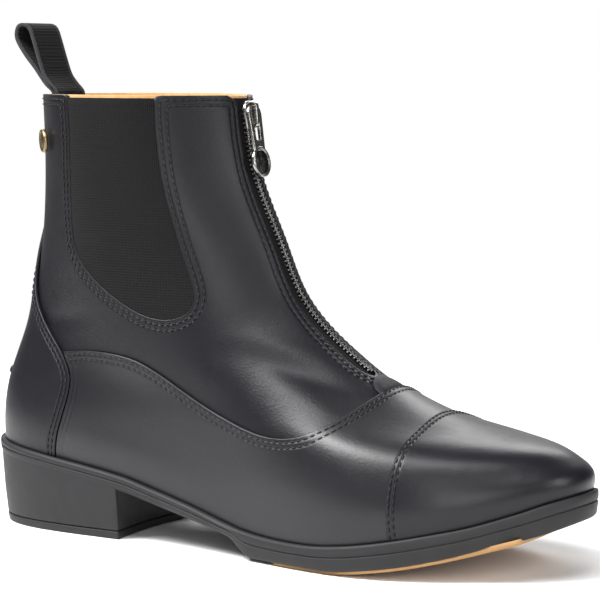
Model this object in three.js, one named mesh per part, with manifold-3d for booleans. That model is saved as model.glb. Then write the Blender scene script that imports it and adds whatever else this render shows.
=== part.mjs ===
// A right ankle boot for riding: zipped front, elastic side panels, toe cap, heel counter and low heel.
// Millimetres. +X runs to the toe, +Y to the wearer's inner side, +Z up, and the floor is z = 0.
import * as THREE from "three";
import { mergeVertices } from "three/addons/utils/BufferGeometryUtils.js";
import Module from "manifold-3d";

const wasm = await Module();
wasm.setup();

// Driving sizes of the last and the sole
const soleLength = 288;
const ballWidth = 102;
const collarHeight = 192;
const heelSeat = 38.5; // floor to the sole's top edge at the back
const ballSeat = 10.8; // floor to the sole's top edge at the ball
const toeSeat = 36.5; // floor to the sole's top edge at the toe
const breastAt = 82; // back of the sole to the heel's front face
const breastHollow = 5; // how far the heel's front face curves in
const heelTaper = 3.6; // how much the heel draws in towards the floor, at its back
const sideTaper = 3.2; // the same at its sides
const waistThickness = 5.9;
const forepartThickness = 10.6;
const flatStart = 151; // the forepart's flat spot on the floor
const archStep = 14; // length over which the forepart gains its thickness
const flatEnd = 187;
const toeSpring = 26; // floor to the sole's lower edge at the toe
const lip = 4.2; // sole edge standing proud of the upper
const edgeInset = 2; // how far the slab's lower edge draws in
const edgeRound = 1.1; // height of that rounding
const lineDepth = 0.5; // moulded line round the slab's side
const lineWidth = 0.7;
const lineShare = 0.42; // its place below the top edge, as a share of the slab's thickness
const topInset = 1.3; // how far the slab's top edge draws in
const topRound = 0.9;
const topPieceThickness = 3.6;
const heelRoot = 2.5; // sole's top edge down to the heel block's own top
const heelRootShare = 0.08; // share of the heel's taper at that height
const insertThickness = 2.4;
const insertProud = 1.2;
const insertInset = 3.4;
const insertStart = 166;
const insertEnd = 258;
const insertBow = 9; // how far the insert's ends curve

// Driving sizes of the upper
const wall = 2.2;
const vampThickness = 1.1;
const counterThickness = 1.6;
const capThickness = 1.7;
const gussetThickness = 1.4;
const gussetDepth = 0.5; // how far the elastic lies below the leather
const gussetDrop = 1.2; // elastic's and tape's top edge below the collar
const insoleThickness = 3;
const gap = 0.3; // between pieces that touch

// Driving sizes of the zip, the loop and the stud
const zipSlotWidth = 14;
const zipFoot = 76; // height on the ridge where the zip ends
const collarCorner = 5; // rounding of the leather's top corners beside the zip
const tapeThickness = 0.9;
const tapeDepth = 1.1;
const chainWidth = 6;
const chainProud = 0.9;
const chainThickness = 1.7;
const chainStart = 3; // zip's foot to the first tooth
const sliderLength = 12;
const sliderTop = 9; // slider's width at its upper end
const sliderFoot = 6.6;
const sliderPlate = 1.4;
const sliderCorner = 1.4; // how far the plate's upper corners are cut
const sliderDrop = 8.5; // collar to the slider's middle
const bridgeWidth = 2.4;
const bridgeLength = 11;
const bridgeRise = 3.6;
const bridgeBar = 1.1; // thickness of the bridge
const bridgeSink = 0.2; // how far its feet reach into the plate
const bridgeCorner = 0.3; // cut of its corners as a share of its rise
const pinDrop = 2.6; // bridge's upper end to the pull's pin
const pullTop = 10.4; // pull's width at the pin
const pullFoot = 8;
const pullThickness = 1.6;
const pullReach = 31; // pull's top edge to the disc's lower edge
const pullSlotWidth = 5;
const pullSlotLength = 14;
const pullArm = 1.6; // metal above the slot
const pullShoulder = 3; // pin down to the pull's widest place
const pullLean = 3.5; // degrees that the hanging pull stands off the slider's plate
const discDiameter = 13.5;
const discThickness = 2.2;
const loopWidth = 21;
const loopThickness = 1.5;
const loopRise = 30.5; // loop's top above the collar
const loopLean = 17.7; // how far the loop leans back from the wall's inner face
const loopTail = 16; // loop's ends below the collar
const spurWidth = 22;
const spurHeight = 67.5;
const spurThickness = 2.2; // the ledge from top to bottom
const spurProud = 1.3;
const studDiameter = 10.5;
const studThickness = 2;
const studDrop = 20; // collar to the stud's middle
const studTurn = 0.115; // share of the way round from the back, on the outer side

// Mesh fineness
const aroundSteps = 42;
const fineRows = 8; // rows with a level between them too

// Natural spline through equally spaced values, closed or open, by relaxation of its second derivatives
function spline(values, closed = false) {
  const n = values.length;
  const bend = values.map(() => 0);
  const at = (list, i) => (closed ? list[(i + n) % n] : list[i]);
  for (let pass = 0; pass < 40; pass++)
    for (let i = closed ? 0 : 1; i < (closed ? n : n - 1); i++) {
      const kink = at(values, i - 1) - 2 * values[i] + at(values, i + 1);
      bend[i] = (6 * kink - at(bend, i - 1) - at(bend, i + 1)) / 4;
    }
  return (s) => {
    const i = closed ? Math.floor(s) : Math.min(Math.max(Math.floor(s), 0), n - 2);
    const b = s - i;
    const a = 1 - b;
    const [v0, v1, m0, m1] = [at(values, i), at(values, i + 1), at(bend, i), at(bend, i + 1)];
    return a * v0 + b * v1 + ((a ** 3 - a) * m0 + (b ** 3 - b) * m1) / 6;
  };
}

// Straight or curved interpolation through rows of [place, value]
function through(rows) {
  const last = rows.length - 1;
  return (x) => {
    if (x <= rows[0][0]) return rows[0][1];
    if (x >= rows[last][0]) return rows[last][1];
    const i = rows.findIndex(([place]) => place >= x) - 1;
    const [p0, v0] = rows[i];
    const [p1, v1] = rows[i + 1];
    const slope = (k) =>
      k <= 0 || k >= last ? 0 : (rows[k + 1][1] - rows[k - 1][1]) / (rows[k + 1][0] - rows[k - 1][0]);
    const ends = (k, here) =>
      k === 0 || k === last ? (v1 - v0) / (p1 - p0) : here;
    const h = p1 - p0;
    const b = (x - p0) / h;
    const m0 = ends(i, slope(i)) * h;
    const m1 = ends(i + 1, slope(i + 1)) * h;
    return v0 + b * (m0 + b * (3 * (v1 - v0) - 2 * m0 - m1 + b * (m0 + m1 - 2 * (v1 - v0))));
  };
}

// The sole's top edge from the side: share of the length, share of the rise from ball to heel seat or toe
const heelRise = through([
  [0, 1], [0.15, 0.83], [0.28, 0.64], [0.34, 0.49], [0.41, 0.31], [0.466, 0.155], [0.51, 0.055], [0.56, 0.01],
  [0.6, 0],
]);
const toeRise = through([
  [0.6, 0], [0.64, 0.015], [0.69, 0.08], [0.73, 0.155], [0.77, 0.245], [0.815, 0.355], [0.86, 0.475],
  [0.915, 0.68], [0.95, 0.83], [1, 1],
]);
function soleTop(x) {
  const share = x / soleLength;
  return ballSeat + (heelSeat - ballSeat) * heelRise(share) + (toeSeat - ballSeat) * toeRise(share);
}

// The sole's underside in front of the heel, which thins at the waist and is flat under the ball
const soleBody = through([
  [breastAt, waistThickness * 1.15], [flatStart - archStep * 2.7, waistThickness * 1.05],
  [flatStart - archStep, waistThickness * 0.9], [flatStart - archStep * 0.7, waistThickness],
  [flatStart - archStep * 0.3, forepartThickness * 0.9], [flatStart, forepartThickness],
]);
const frontLift = through([
  [0, 0], [0.08, 0.02], [0.22, 0.1], [0.34, 0.185], [0.47, 0.305], [0.55, 0.39], [0.72, 0.59], [0.84, 0.74],
  [1, 1],
]);
function soleUnder(x) {
  const flat = insertProud;
  if (x > flatEnd) return flat + (toeSpring - flat) * frontLift((x - flatEnd) / (soleLength - flatEnd));
  return Math.max(flat, soleTop(x) - soleBody(x));
}

// Rings of the upper from the sole's edge (first row) to the collar (last row).
// Lengths in percent: back and front of the sole's length, heights of the collar's height, and
// half widths of the ball's width, at five stations on the outer side and five on the inner side.
// Bluntness is the half width that a round end would have; toeIn moves the front end inwards.
// Sag is the share of the sole's own curve that the ring still follows.
const ringColumns = [
  "back", "backUp", "front", "frontUp", "sag", "toeIn",
  "backBlunt", "heelOut", "seatOut", "waistOut", "ballOut", "toeOut",
  "frontBlunt", "toeInner", "ballIn", "waistIn", "seatIn", "heelIn",
];
const ringRows = [
  [1.3, 20.5, 97.2, 18.6, 1.00, 5, 61, 25.0, 30.4, 36.8, 46.0, 25.0, 54, 29.0, 43.5, 32.0, 29.6, 24.0],
  [1.3, 24.5, 97.3, 21.8, 0.80, 5, 61, 26.0, 31.8, 37.4, 47.0, 26.0, 55, 30.0, 44.5, 33.0, 31.0, 25.0],
  [1.5, 28.7, 95.6, 24.4, 0.60, 5, 60, 26.0, 31.8, 37.2, 46.2, 25.5, 52, 29.5, 43.6, 33.5, 31.0, 25.0],
  [2.0, 33.0, 92.9, 26.8, 0.41, 4.5, 58, 25.0, 31.4, 36.4, 43.8, 24.5, 49, 27.5, 41.6, 34.0, 31.0, 24.0],
  [2.9, 37.2, 88.0, 28.4, 0.25, 4, 56, 23.4, 30.6, 35.4, 40.4, 22.5, 45, 25.0, 39.2, 34.2, 30.5, 22.8],
  [4.2, 42.0, 80.3, 30.3, 0.12, 3, 53, 21.4, 29.8, 34.0, 35.8, 19.5, 40, 21.5, 35.8, 34.0, 30.0, 21.2],
  [5.8, 48.4, 69.8, 35.9, 0.04, 2, 50, 19.6, 29.4, 33.3, 31.6, 16.8, 35, 18.2, 32.2, 33.5, 29.6, 19.6],
  [6.9, 56.4, 60.4, 44.5, 0.00, 1, 47, 18.6, 29.4, 33.0, 29.2, 15.0, 31, 15.8, 29.4, 33.0, 29.4, 18.6],
  [8.0, 66.0, 53.3, 55.1, 0.00, 0, 46, 18.4, 30.2, 33.6, 28.6, 14.2, 29, 14.6, 28.6, 33.6, 30.2, 18.4],
  [8.8, 76.6, 49.2, 67.8, 0.00, 0, 46, 18.8, 31.6, 35.4, 29.8, 14.4, 29, 14.4, 29.8, 35.4, 31.6, 18.8],
  [9.2, 88.3, 44.8, 83.0, 0.00, 0, 47, 19.4, 33.4, 37.6, 32.0, 15.2, 30, 15.2, 32.0, 37.6, 33.4, 19.4],
  [9.1, 100, 42.9, 100, 0.00, 0, 48, 20.0, 35.0, 39.6, 34.6, 17.0, 34, 17.0, 34.6, 39.6, 35.0, 20.0],
];
const lastRow = ringRows.length - 1;
const percentOf = {
  back: soleLength, front: soleLength, backUp: collarHeight, frontUp: collarHeight, sag: 100,
};
const column = Object.fromEntries(
  ringColumns.map((name, i) => [
    name,
    spline(ringRows.map((row) => (row[i] * (percentOf[name] ?? ballWidth)) / 100)),
  ]),
);
const stationNames = ringColumns.slice(6);
const stations = stationNames.length;

// Half width over the sine of the station's angle, because a ring's width follows that sine
function fullness(row, k) {
  const value = column[stationNames[k]](row);
  const blunt = k % (stations / 2) === 0;
  return blunt ? value : value / Math.abs(Math.sin((k / stations) * 2 * Math.PI));
}

// One ring as a function of turn: 0 at the back, 0.25 outer side, 0.5 front, 0.75 inner side
function ring(row) {
  const width = spline([...Array(stations).keys()].map((k) => fullness(row, k)), true);
  const [back, front] = [column.back(row), column.front(row)];
  const [backUp, frontUp] = [column.backUp(row), column.frontUp(row)];
  const [firstBack, firstFront] = [column.back(0), column.front(0)];
  return (turn) => {
    const angle = turn * 2 * Math.PI;
    const along = (1 - Math.cos(angle)) / 2;
    const x = back + (front - back) * along;
    const chord = backUp + (frontUp - backUp) * along;
    const firstAlong = (x - firstBack) / (firstFront - firstBack);
    const firstChord = column.backUp(0) + (column.frontUp(0) - column.backUp(0)) * firstAlong;
    const sag = column.sag(row) * (soleTop(x) + gap - firstChord);
    const y = column.toeIn(row) * along ** 2 - Math.sin(angle) * width(turn * stations);
    return new THREE.Vector3(x, y, chord + sag);
  };
}

// The upper's outer face as a function of row and turn, moved outwards along its normal
const ringCache = new Map();
function cachedRing(row) {
  if (!ringCache.has(row)) ringCache.set(row, ring(row));
  return ringCache.get(row);
}
function face(row, turn, out = 0) {
  const step = 1e-3;
  const point = cachedRing(row)(turn);
  if (!out) return point;
  const low = Math.max(row - step, 0);
  const high = Math.min(row + step, lastRow);
  const up = cachedRing(high)(turn).sub(cachedRing(low)(turn));
  const round = cachedRing(row)(turn + step).sub(cachedRing(row)(turn - step));
  return point.addScaledVector(round.cross(up).normalize(), out);
}

// Solids
function solid(points, triangles) {
  const flat = new Float32Array(points.flatMap((p) => [p.x, p.y, p.z]));
  return new wasm.Manifold(
    new wasm.Mesh({ numProp: 3, vertProperties: flat, triVerts: new Uint32Array(triangles) }),
  );
}

// A three.js geometry as a solid
function solidOf(geometry) {
  const bare = geometry.clone();
  bare.deleteAttribute("normal");
  bare.deleteAttribute("uv");
  const merged = mergeVertices(bare, 1e-4);
  return new wasm.Manifold(
    new wasm.Mesh({
      numProp: 3,
      vertProperties: new Float32Array(merged.attributes.position.array),
      triVerts: new Uint32Array(merged.index.array),
    }),
  );
}

// The sides between one closed ring and the next; the seam across each patch can be the other diagonal
function sides(n, here, next, otherDiagonal = false) {
  const triangles = [];
  for (let i = 0; i < n; i++) {
    const j = (i + 1) % n;
    if (otherDiagonal) triangles.push(here + i, here + j, next + i, here + j, next + j, next + i);
    else triangles.push(here + i, here + j, next + j, here + i, next + j, next + i);
  }
  return triangles;
}

// A wall between outer and inner rings, with the same diagonals on both faces
function hollow(outer, inner) {
  const rings = [...outer, ...inner.reverse()];
  const n = rings[0].length;
  return solid(
    rings.flat(),
    rings.flatMap((_, r) => sides(n, r * n, ((r + 1) % rings.length) * n, r >= outer.length)),
  );
}

// Rings from bottom to top, anticlockwise from above, closed by lids that run straight across
function stack(rings) {
  const n = rings[0].length;
  const triangles = rings.slice(1).flatMap((_, r) => sides(n, r * n, (r + 1) * n));
  const lid = (base, upwards) => {
    const turned = (a, b, c) => (upwards ? [a, b, c] : [a, c, b]).map((k) => base + (k % n));
    for (let i = 0; i < n / 2; i++) {
      if (i + 1 < n / 2) triangles.push(...turned(i, i + 1, n - i - 1));
      if (i > 0) triangles.push(...turned(i, n - i - 1, n - i));
    }
  };
  lid(0, false);
  lid((rings.length - 1) * n, true);
  return solid(rings.flat(), triangles);
}

const corner = (x, y) => new THREE.Vector2(x, y);
const turns = [...Array(aroundSteps).keys()].map((i) => i / aroundSteps);
const levels = [...Array(lastRow + 1).keys()].flatMap((row) => (row < fineRows ? [row, row + 0.5] : [row]));
const zipLevels = [...Array(2 * (lastRow - 4) + 1).keys()].map((i) => 4 + i / 2);

// A skin between two distances from the upper's face, over a range of rows
function skin(inner, outer, rows = levels) {
  const wallAt = (out) => rows.map((row) => turns.map((turn) => face(row, turn, out)));
  return hollow(wallAt(outer), wallAt(inner));
}

// Sole outline: the upper's lowest ring moved out by the lip
const footRing = turns.map((turn) => face(0, turn));
function outlineRing(inset, height) {
  return footRing.map((p, i) => {
    const before = footRing[(i + aroundSteps - 1) % aroundSteps];
    const after = footRing[(i + 1) % aroundSteps];
    const along = after.clone().sub(before).setZ(0).normalize();
    const out = lip - inset;
    const x = p.x + along.y * out;
    return new THREE.Vector3(x, p.y - along.x * out, height(x));
  });
}

// Shapes drawn from the side (x, z), from the front (y, z) and from above (x, y), pushed through the boot
function drawn(points, depth) {
  return new THREE.ExtrudeGeometry(new THREE.Shape(points), { depth, bevelEnabled: false, curveSegments: 8 });
}
function sideBlock(points, from = -90, to = 90) {
  return solidOf(drawn(points, to - from).rotateX(Math.PI / 2).translate(0, to, 0));
}
function frontBlock(points, from, to) {
  return solidOf(drawn(points, to - from).rotateX(Math.PI / 2).rotateZ(Math.PI / 2).translate(from, 0, 0));
}
function planBlock(points, from, to) {
  return solidOf(drawn(points, to - from).translate(0, 0, from));
}

// An open line moved to the left of its direction
function shifted(points, distance) {
  return points.map((p, i) => {
    const before = points[Math.max(i - 1, 0)];
    const after = points[Math.min(i + 1, points.length - 1)];
    const along = after.clone().sub(before).normalize();
    return corner(p.x - along.y * distance, p.y + along.x * distance);
  });
}

// Seam lines from the side: percent of the sole's length and of the collar's height
function seam(rows, samples) {
  const points = rows.map(([x, z]) => corner((x * soleLength) / 100, (z * collarHeight) / 100));
  return new THREE.SplineCurve(points).getPoints(samples);
}
const vampSeam = seam(
  [
    [11, 40.8], [16.5, 41.6], [22.4, 42.5], [29, 41.9], [34, 39.6], [43, 32.9], [50.3, 28.9], [55.5, 27.4],
    [60.4, 28], [63.9, 30.3], [66.2, 33.2], [67.9, 36.6], [68.9, 41],
  ],
  34,
);
const capSeam = seam([[75.5, 2], [75.2, 12], [75.1, 20], [75.3, 27], [75.4, 33], [75.6, 38]], 10);
const counterSeam = seam(
  [
    [15.6, 10], [15.8, 17.4], [16.4, 22.1], [17.5, 27.3], [18.4, 32], [18.5, 36], [17.4, 39.6], [15.8, 42.6],
    [13.8, 45.6], [11.8, 48.8], [10, 52.6], [8.8, 58.2], [8.6, 66.4], [8.9, 76.2], [9.4, 88], [9.5, 104],
  ],
  30,
);
const gussetEdge = seam(
  [
    [20.3, 106], [20.2, 90.7], [19.6, 80], [19.3, 71], [20, 65], [22.6, 60], [26.8, 55.4], [32, 51.7],
    [36.5, 50.8], [39.8, 52.5], [40.8, 56], [40, 60.5], [38.4, 67.5], [36.8, 75.4], [35.6, 83], [34.9, 93],
    [34.8, 106],
  ],
  40,
);

// Regions of the boot bounded by the seams
const far = 2 * soleLength;
const behindCounterSeam = (grow) =>
  sideBlock([...shifted(counterSeam, -grow), corner(-far, 2 * collarHeight), corner(-far, -far)]);
const beforeCapSeam = (grow) =>
  sideBlock([...shifted(capSeam, grow), corner(far, 2 * collarHeight), corner(far, -far)]);
const underVampSeam = sideBlock([
  corner(-far, vampSeam[0].y), ...vampSeam, corner(far, 2 * collarHeight),
  corner(far, -far), corner(-far, -far),
]);
const gussetWindow = (grow, top) => sideBlock(shifted(gussetEdge, -grow)).trimByPlane([0, 0, -1], -top);

// The zip's slot from the front: rounded at its foot, and wider with round corners at the collar
function slot(half, foot, flare) {
  const arc = (cx, cz, radius, start, end) =>
    [...Array(7).keys()].map((i) => {
      const angle = ((start + ((end - start) * i) / 6) * Math.PI) / 180;
      return corner(cx + radius * Math.cos(angle), cz + radius * Math.sin(angle));
    });
  const right = [
    ...arc(0, foot + half, half, -90, 0),
    ...(flare
      ? arc(half + flare, collarHeight - flare, flare, 180, 90)
      : [corner(half, 1.01 * collarHeight)]),
    corner(half + flare, 1.1 * collarHeight),
  ];
  const left = right.slice(1).map((p) => corner(-p.x, p.y)).reverse();
  return frontBlock([...right, ...left], soleLength / 3, soleLength);
}

// Upper: one wall with windows for the elastic and a slot for the zip
const upper = skin(-wall, 0)
  .subtract(gussetWindow(0, far))
  .subtract(slot(zipSlotWidth / 2, zipFoot, collarCorner));

// Overlays stand a step proud of the upper's wall and end just above the sole
const lowLevels = levels.filter((row) => row <= 7);
const wellOutside = -lip; // inset that clears everything on the upper
const underfoot = stack([
  outlineRing(wellOutside, () => -lip),
  outlineRing(wellOutside, (x) => soleTop(x) + 1.5 * gap),
]);
const vamp = skin(gap, gap + vampThickness, lowLevels)
  .intersect(underVampSeam)
  .subtract(behindCounterSeam(gap))
  .subtract(beforeCapSeam(gap))
  .subtract(underfoot);
const counter = skin(gap, gap + counterThickness).intersect(behindCounterSeam(0)).subtract(underfoot);
const toeCap = skin(gap, gap + capThickness, lowLevels).intersect(beforeCapSeam(0)).subtract(underfoot);
const ledgeIn = gap + counterThickness + gap;
const rectangle = (width, low, high) => [
  corner(-width / 2, low), corner(width / 2, low), corner(width / 2, high), corner(-width / 2, high),
];
const spurRest = skin(ledgeIn, ledgeIn + spurProud, lowLevels).intersect(
  frontBlock(
    rectangle(spurWidth, spurHeight - spurThickness / 2, spurHeight + spurThickness / 2),
    -soleLength / 4, soleLength / 4,
  ),
);

// Elastic panels in the windows, a little below the collar
const elastic = skin(-gussetDepth - gussetThickness, -gussetDepth).intersect(
  gussetWindow(-gap, collarHeight - gussetDrop),
);
const gussetOuter = elastic.trimByPlane([0, -1, 0], 0);
const gussetInner = elastic.trimByPlane([0, 1, 0], 0);

// Zip tape and chain in the slot
const tape = skin(-tapeDepth - tapeThickness, -tapeDepth, zipLevels)
  .intersect(slot(zipSlotWidth / 2 - gap, zipFoot + gap, 0))
  .trimByPlane([0, 0, -1], -(collarHeight - gussetDrop));
const chain = skin(chainProud - chainThickness, chainProud, zipLevels)
  .intersect(slot(chainWidth / 2, zipFoot + chainStart, 0))
  .trimByPlane([0, 0, -1], -(collarHeight - gussetDrop));

// A place on the upper's face: out of the face is +X, and up along it is +Z
function placeAt(height, turn) {
  let [low, high] = [0, lastRow];
  for (let i = 0; i < 30; i++) {
    const middle = (low + high) / 2;
    if (face(middle, turn).z < height) low = middle;
    else high = middle;
  }
  const origin = face(low, turn);
  const outwards = face(low, turn, 1).sub(origin);
  const across = new THREE.Vector3(0, 0, 1).cross(outwards).normalize();
  const up = outwards.clone().cross(across);
  return new THREE.Matrix4().makeBasis(outwards, across, up).setPosition(origin);
}

// Slider: a tapered plate over the chain with a bridge that holds the pull
const sliderPlace = placeAt(collarHeight - sliderDrop, 0.5);
const plateIn = chainProud + 1.4 * gap;
const plateOut = plateIn + sliderPlate;
const plate = frontBlock(
  [
    corner(-sliderFoot / 2, -sliderLength / 2), corner(sliderFoot / 2, -sliderLength / 2),
    corner(sliderTop / 2, sliderLength / 6), corner(sliderTop / 2 - sliderCorner, sliderLength / 2),
    corner(sliderCorner - sliderTop / 2, sliderLength / 2), corner(-sliderTop / 2, sliderLength / 6),
  ],
  plateIn, plateOut,
);
const archLine = (length, rise) => {
  const cut = rise * bridgeCorner;
  const [root, top] = [plateOut - bridgeSink, plateOut + rise];
  return [
    corner(root, -length / 2), corner(top - cut, -length / 2), corner(top, cut - length / 2),
    corner(top, length / 2 - cut), corner(top - cut, length / 2), corner(root, length / 2),
  ];
};
const bridge = sideBlock(archLine(bridgeLength, bridgeRise), -bridgeWidth / 2, bridgeWidth / 2).subtract(
  sideBlock(archLine(bridgeLength - 2 * bridgeBar, bridgeRise - bridgeBar), -bridgeWidth, bridgeWidth),
);
const slider = plate.add(bridge);

// Pull: a slotted bar with a round disc, drawn hanging from its pin at the origin
const pinOut = plateOut + gap + pullThickness / 2;
const pinUp = bridgeLength / 2 - pinDrop;
const discDown = pullReach - pullArm / 2 - discDiameter / 2;
const round = (radius, cz, count = 24) =>
  [...Array(count).keys()].map((i) => {
    const angle = (i / count) * 2 * Math.PI;
    return corner(radius * Math.cos(angle), cz + radius * Math.sin(angle));
  });
const bar = frontBlock(
  [
    corner(pullTop / 2, -pullShoulder), corner(pullTop / 2 - pullShoulder / 5, -pullShoulder / 4),
    corner((pullTop - pullSlotWidth) / 2, pullArm / 2), corner((pullSlotWidth - pullTop) / 2, pullArm / 2),
    corner(pullShoulder / 5 - pullTop / 2, -pullShoulder / 4), corner(-pullTop / 2, -pullShoulder),
    corner(-pullFoot / 2, -discDown), corner(pullFoot / 2, -discDown),
  ],
  -pullThickness / 2, pullThickness / 2,
);
const opening = frontBlock(
  [
    corner(pullSlotWidth / 2, -pullArm / 2), corner(-pullSlotWidth / 2, -pullArm / 2),
    corner(-0.4 * pullSlotWidth, -pullSlotLength), corner(0.4 * pullSlotWidth, -pullSlotLength),
  ],
  -pullThickness, pullThickness,
);
const disc = frontBlock(round(discDiameter / 2, -discDown), -discThickness / 2, discThickness / 2);
const pull = bar.subtract(opening).add(disc);
const pinPlace = sliderPlace
  .clone()
  .multiply(new THREE.Matrix4().makeTranslation(pinOut, 0, pinUp))
  .multiply(new THREE.Matrix4().makeRotationY((-pullLean * Math.PI) / 180));

// Stud on the outer side near the back
const stud = solidOf(
  new THREE.LatheGeometry(
    [
      corner(0, gap), corner(studDiameter * 0.47, gap), corner(studDiameter / 2, gap + studThickness * 0.2),
      corner(studDiameter * 0.47, gap + studThickness * 0.6),
      corner(studDiameter * 0.36, gap + studThickness * 0.85), corner(0, gap + studThickness),
    ],
    20,
  ).rotateZ(-Math.PI / 2),
);

// Pull loop: a band that rises from inside the collar, leans back and returns. Shares in percent:
// of the loop's lean, its rise, its tail, its thickness (inwards) and the curve of the wall beside it
const loopRows = [
  // lean, rise, tail, inwards, hug
  [0, 0, 100, 125, 100], [0, 0, 50, 110, 100], [0, 0, 12, 108, 100], [0, 4, 0, 80, 100], [10, 13, 0, 0, 80],
  [23, 22, 0, 0, 60], [42, 37, 0, 0, 35], [70, 56, 0, 0, 10], [93, 75, 0, 0, 0], [99, 87, 0, 0, 0],
  [92, 98, 0, 0, 0], [74, 100, 0, 0, 0], [57, 94, 0, 0, 0], [44, 75, 0, 0, 0], [30, 50, 0, 0, 10],
  [17, 28, 0, 0, 40], [3, 15, 0, 30, 60], [0, 4, 0, 200, 80], [0, 0, 12, 220, 100], [0, 0, 50, 235, 100],
  [0, 0, 100, 250, 100],
];
const loopLine = loopRows.map(([lean, rise, tail, inwards]) =>
  corner((lean * loopLean - inwards * loopThickness) / 100, (rise * loopRise - tail * loopTail) / 100),
);

// A curved line across the boot, bowed backwards by a distance between the heel's corners
const acrossLine = (at, bow) =>
  [...Array(13).keys()].map((i) => {
    const share = (i - 6) / 6;
    return corner(at - bow * Math.max(0, 1 - (share * 2) ** 2), share * ballWidth);
  });
const behindBreast = planBlock(
  [...acrossLine(breastAt, breastHollow), corner(-far, far), corner(-far, -far)], -1, far,
);

// Outsole: a thin slab with a side line and a heel block, and a pocket for the insert
const lineAt = (x) => soleTop(x) - lineShare * (soleTop(x) - soleUnder(x));
const slab = stack([
  outlineRing(edgeInset, soleUnder),
  outlineRing(edgeInset * 0.3, (x) => soleUnder(x) + edgeRound),
  outlineRing(lineDepth * 0.4, (x) => lineAt(x) - lineWidth * 0.4),
  outlineRing(lineDepth * 1.4, lineAt),
  outlineRing(lineDepth * 0.2, (x) => lineAt(x) + lineWidth * 0.6),
  outlineRing(topInset * 0.3, (x) => soleTop(x) - topRound),
  outlineRing(topInset, soleTop),
]);
const heelRing = (share, height) => {
  const inset = sideTaper * share;
  return outlineRing(inset, height).map((p) =>
    p.setX(p.x + (heelTaper - sideTaper) * share * Math.max(0, 1 - p.x / breastAt)),
  );
};
const heelBlock = stack([
  heelRing(1 - topPieceThickness / heelSeat, () => topPieceThickness + gap),
  heelRing(heelRootShare, (x) => soleTop(x) - heelRoot),
]).intersect(behindBreast);
const topPiece = stack([
  heelRing(1, () => 0),
  heelRing(1 - topPieceThickness / heelSeat, () => topPieceThickness),
]).intersect(behindBreast);
const insertShape = (grow) =>
  planBlock(
    [
      ...acrossLine(insertStart - grow, insertBow),
      ...acrossLine(insertEnd + grow, -insertBow).reverse(),
    ],
    -far, far,
  );
const insertHigh = insertThickness - insertProud;
const insertSlab = (grow, low, high) =>
  stack([
    outlineRing(insertInset - grow, (x) => soleUnder(x) + low),
    outlineRing(insertInset - grow, (x) => soleUnder(x) + high),
  ]).intersect(insertShape(grow));
const outsole = slab.add(heelBlock).subtract(insertSlab(gap, -insertThickness, insertHigh + gap));
const treadInsert = insertSlab(0, -insertProud, insertHigh);
const insole = stack([
  outlineRing(lip + wall + 2 * gap, (x) => soleTop(x) + gap),
  outlineRing(lip + wall + 2 * gap, (x) => soleTop(x) + gap + insoleThickness),
]);

// The band of the pull loop, with the inner face of the wall as its guide
function loopBand() {
  const half = loopWidth / 2;
  const centre = new THREE.SplineCurve(loopLine).getPoints(24);
  const hug = through(loopRows.map((row, i) => [i, row[4] / 100]));
  const innerBack = face(lastRow, 0, -wall).x;
  const bulge = (y) => {
    const turn = Math.asin(Math.min(1, Math.abs(y) / fullness(lastRow, 0))) / (2 * Math.PI);
    return face(lastRow, turn, -wall).x - innerBack;
  };
  const across = [-1, -0.5, 0, 0.5, 1].map((share) => share * half);
  const sections = centre.map((p, i) => {
    const share = hug((i * (loopRows.length - 1)) / (centre.length - 1));
    const before = centre[Math.max(i - 1, 0)];
    const after = centre[Math.min(i + 1, centre.length - 1)];
    const along = after.clone().sub(before).normalize();
    const edge = (side) =>
      across.map((y) => {
        const x = innerBack - p.x + bulge(y) * share + side * along.y * (loopThickness / 2);
        return new THREE.Vector3(x, y, collarHeight + p.y + side * along.x * (loopThickness / 2));
      });
    return [...edge(1), ...edge(-1).reverse()];
  });
  const n = sections[0].length;
  const triangles = sections.slice(1).flatMap((_, r) => sides(n, r * n, (r + 1) * n));
  const end = (base, flip) => {
    for (let i = 0; i < n / 2 - 1; i++) {
      const quad = [i, i + 1, n - i - 2, n - i - 1].map((k) => base + k);
      const [a, b, c, d] = quad;
      triangles.push(...(flip ? [a, c, b, a, d, c] : [a, b, c, a, c, d]));
    }
  };
  end(0, true);
  end((sections.length - 1) * n, false);
  return solid(sections.flat(), triangles);
}
const loop = loopBand();

// Group, stood so that the middle of its box is over the origin
const boot = new THREE.Group();
boot.name = "ankle_boot";
function add(name, made, color, roughness, metalness = 0, place = new THREE.Matrix4()) {
  const mesh = made.getMesh();
  const geometry = new THREE.BufferGeometry();
  geometry.setAttribute("position", new THREE.BufferAttribute(new Float32Array(mesh.vertProperties), 3));
  geometry.setIndex(new THREE.BufferAttribute(new Uint32Array(mesh.triVerts), 1));
  geometry.computeVertexNormals();
  const node = new THREE.Mesh(geometry, new THREE.MeshStandardMaterial({ color, roughness, metalness }));
  node.name = name;
  node.applyMatrix4(place);
  boot.add(node);
}
const leather = 0x1b1b1f;
const rubber = 0x242427;
const metal = 0x8a8880;
add("upper", upper, leather, 0.5);
add("vamp", vamp, leather, 0.5);
add("counter", counter, leather, 0.5);
add("toe_cap", toeCap, leather, 0.42);
add("spur_rest", spurRest, leather, 0.5);
add("gusset_outer", gussetOuter, 0x141416, 0.95);
add("gusset_inner", gussetInner, 0x141416, 0.95);
add("zip_tape", tape, 0x0e0e10, 0.95);
add("zip_chain", chain, 0x77767a, 0.4, 0.9);
add("zip_slider", slider, metal, 0.35, 0.9, sliderPlace);
add("zip_pull", pull, metal, 0.35, 0.9, pinPlace);
add("pull_loop", loop, 0x141416, 0.9);
add("stud", stud, 0x9a8a68, 0.4, 0.9, placeAt(collarHeight - studDrop, studTurn));
add("outsole", outsole, rubber, 0.7);
add("heel_top_piece", topPiece, rubber, 0.75);
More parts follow.
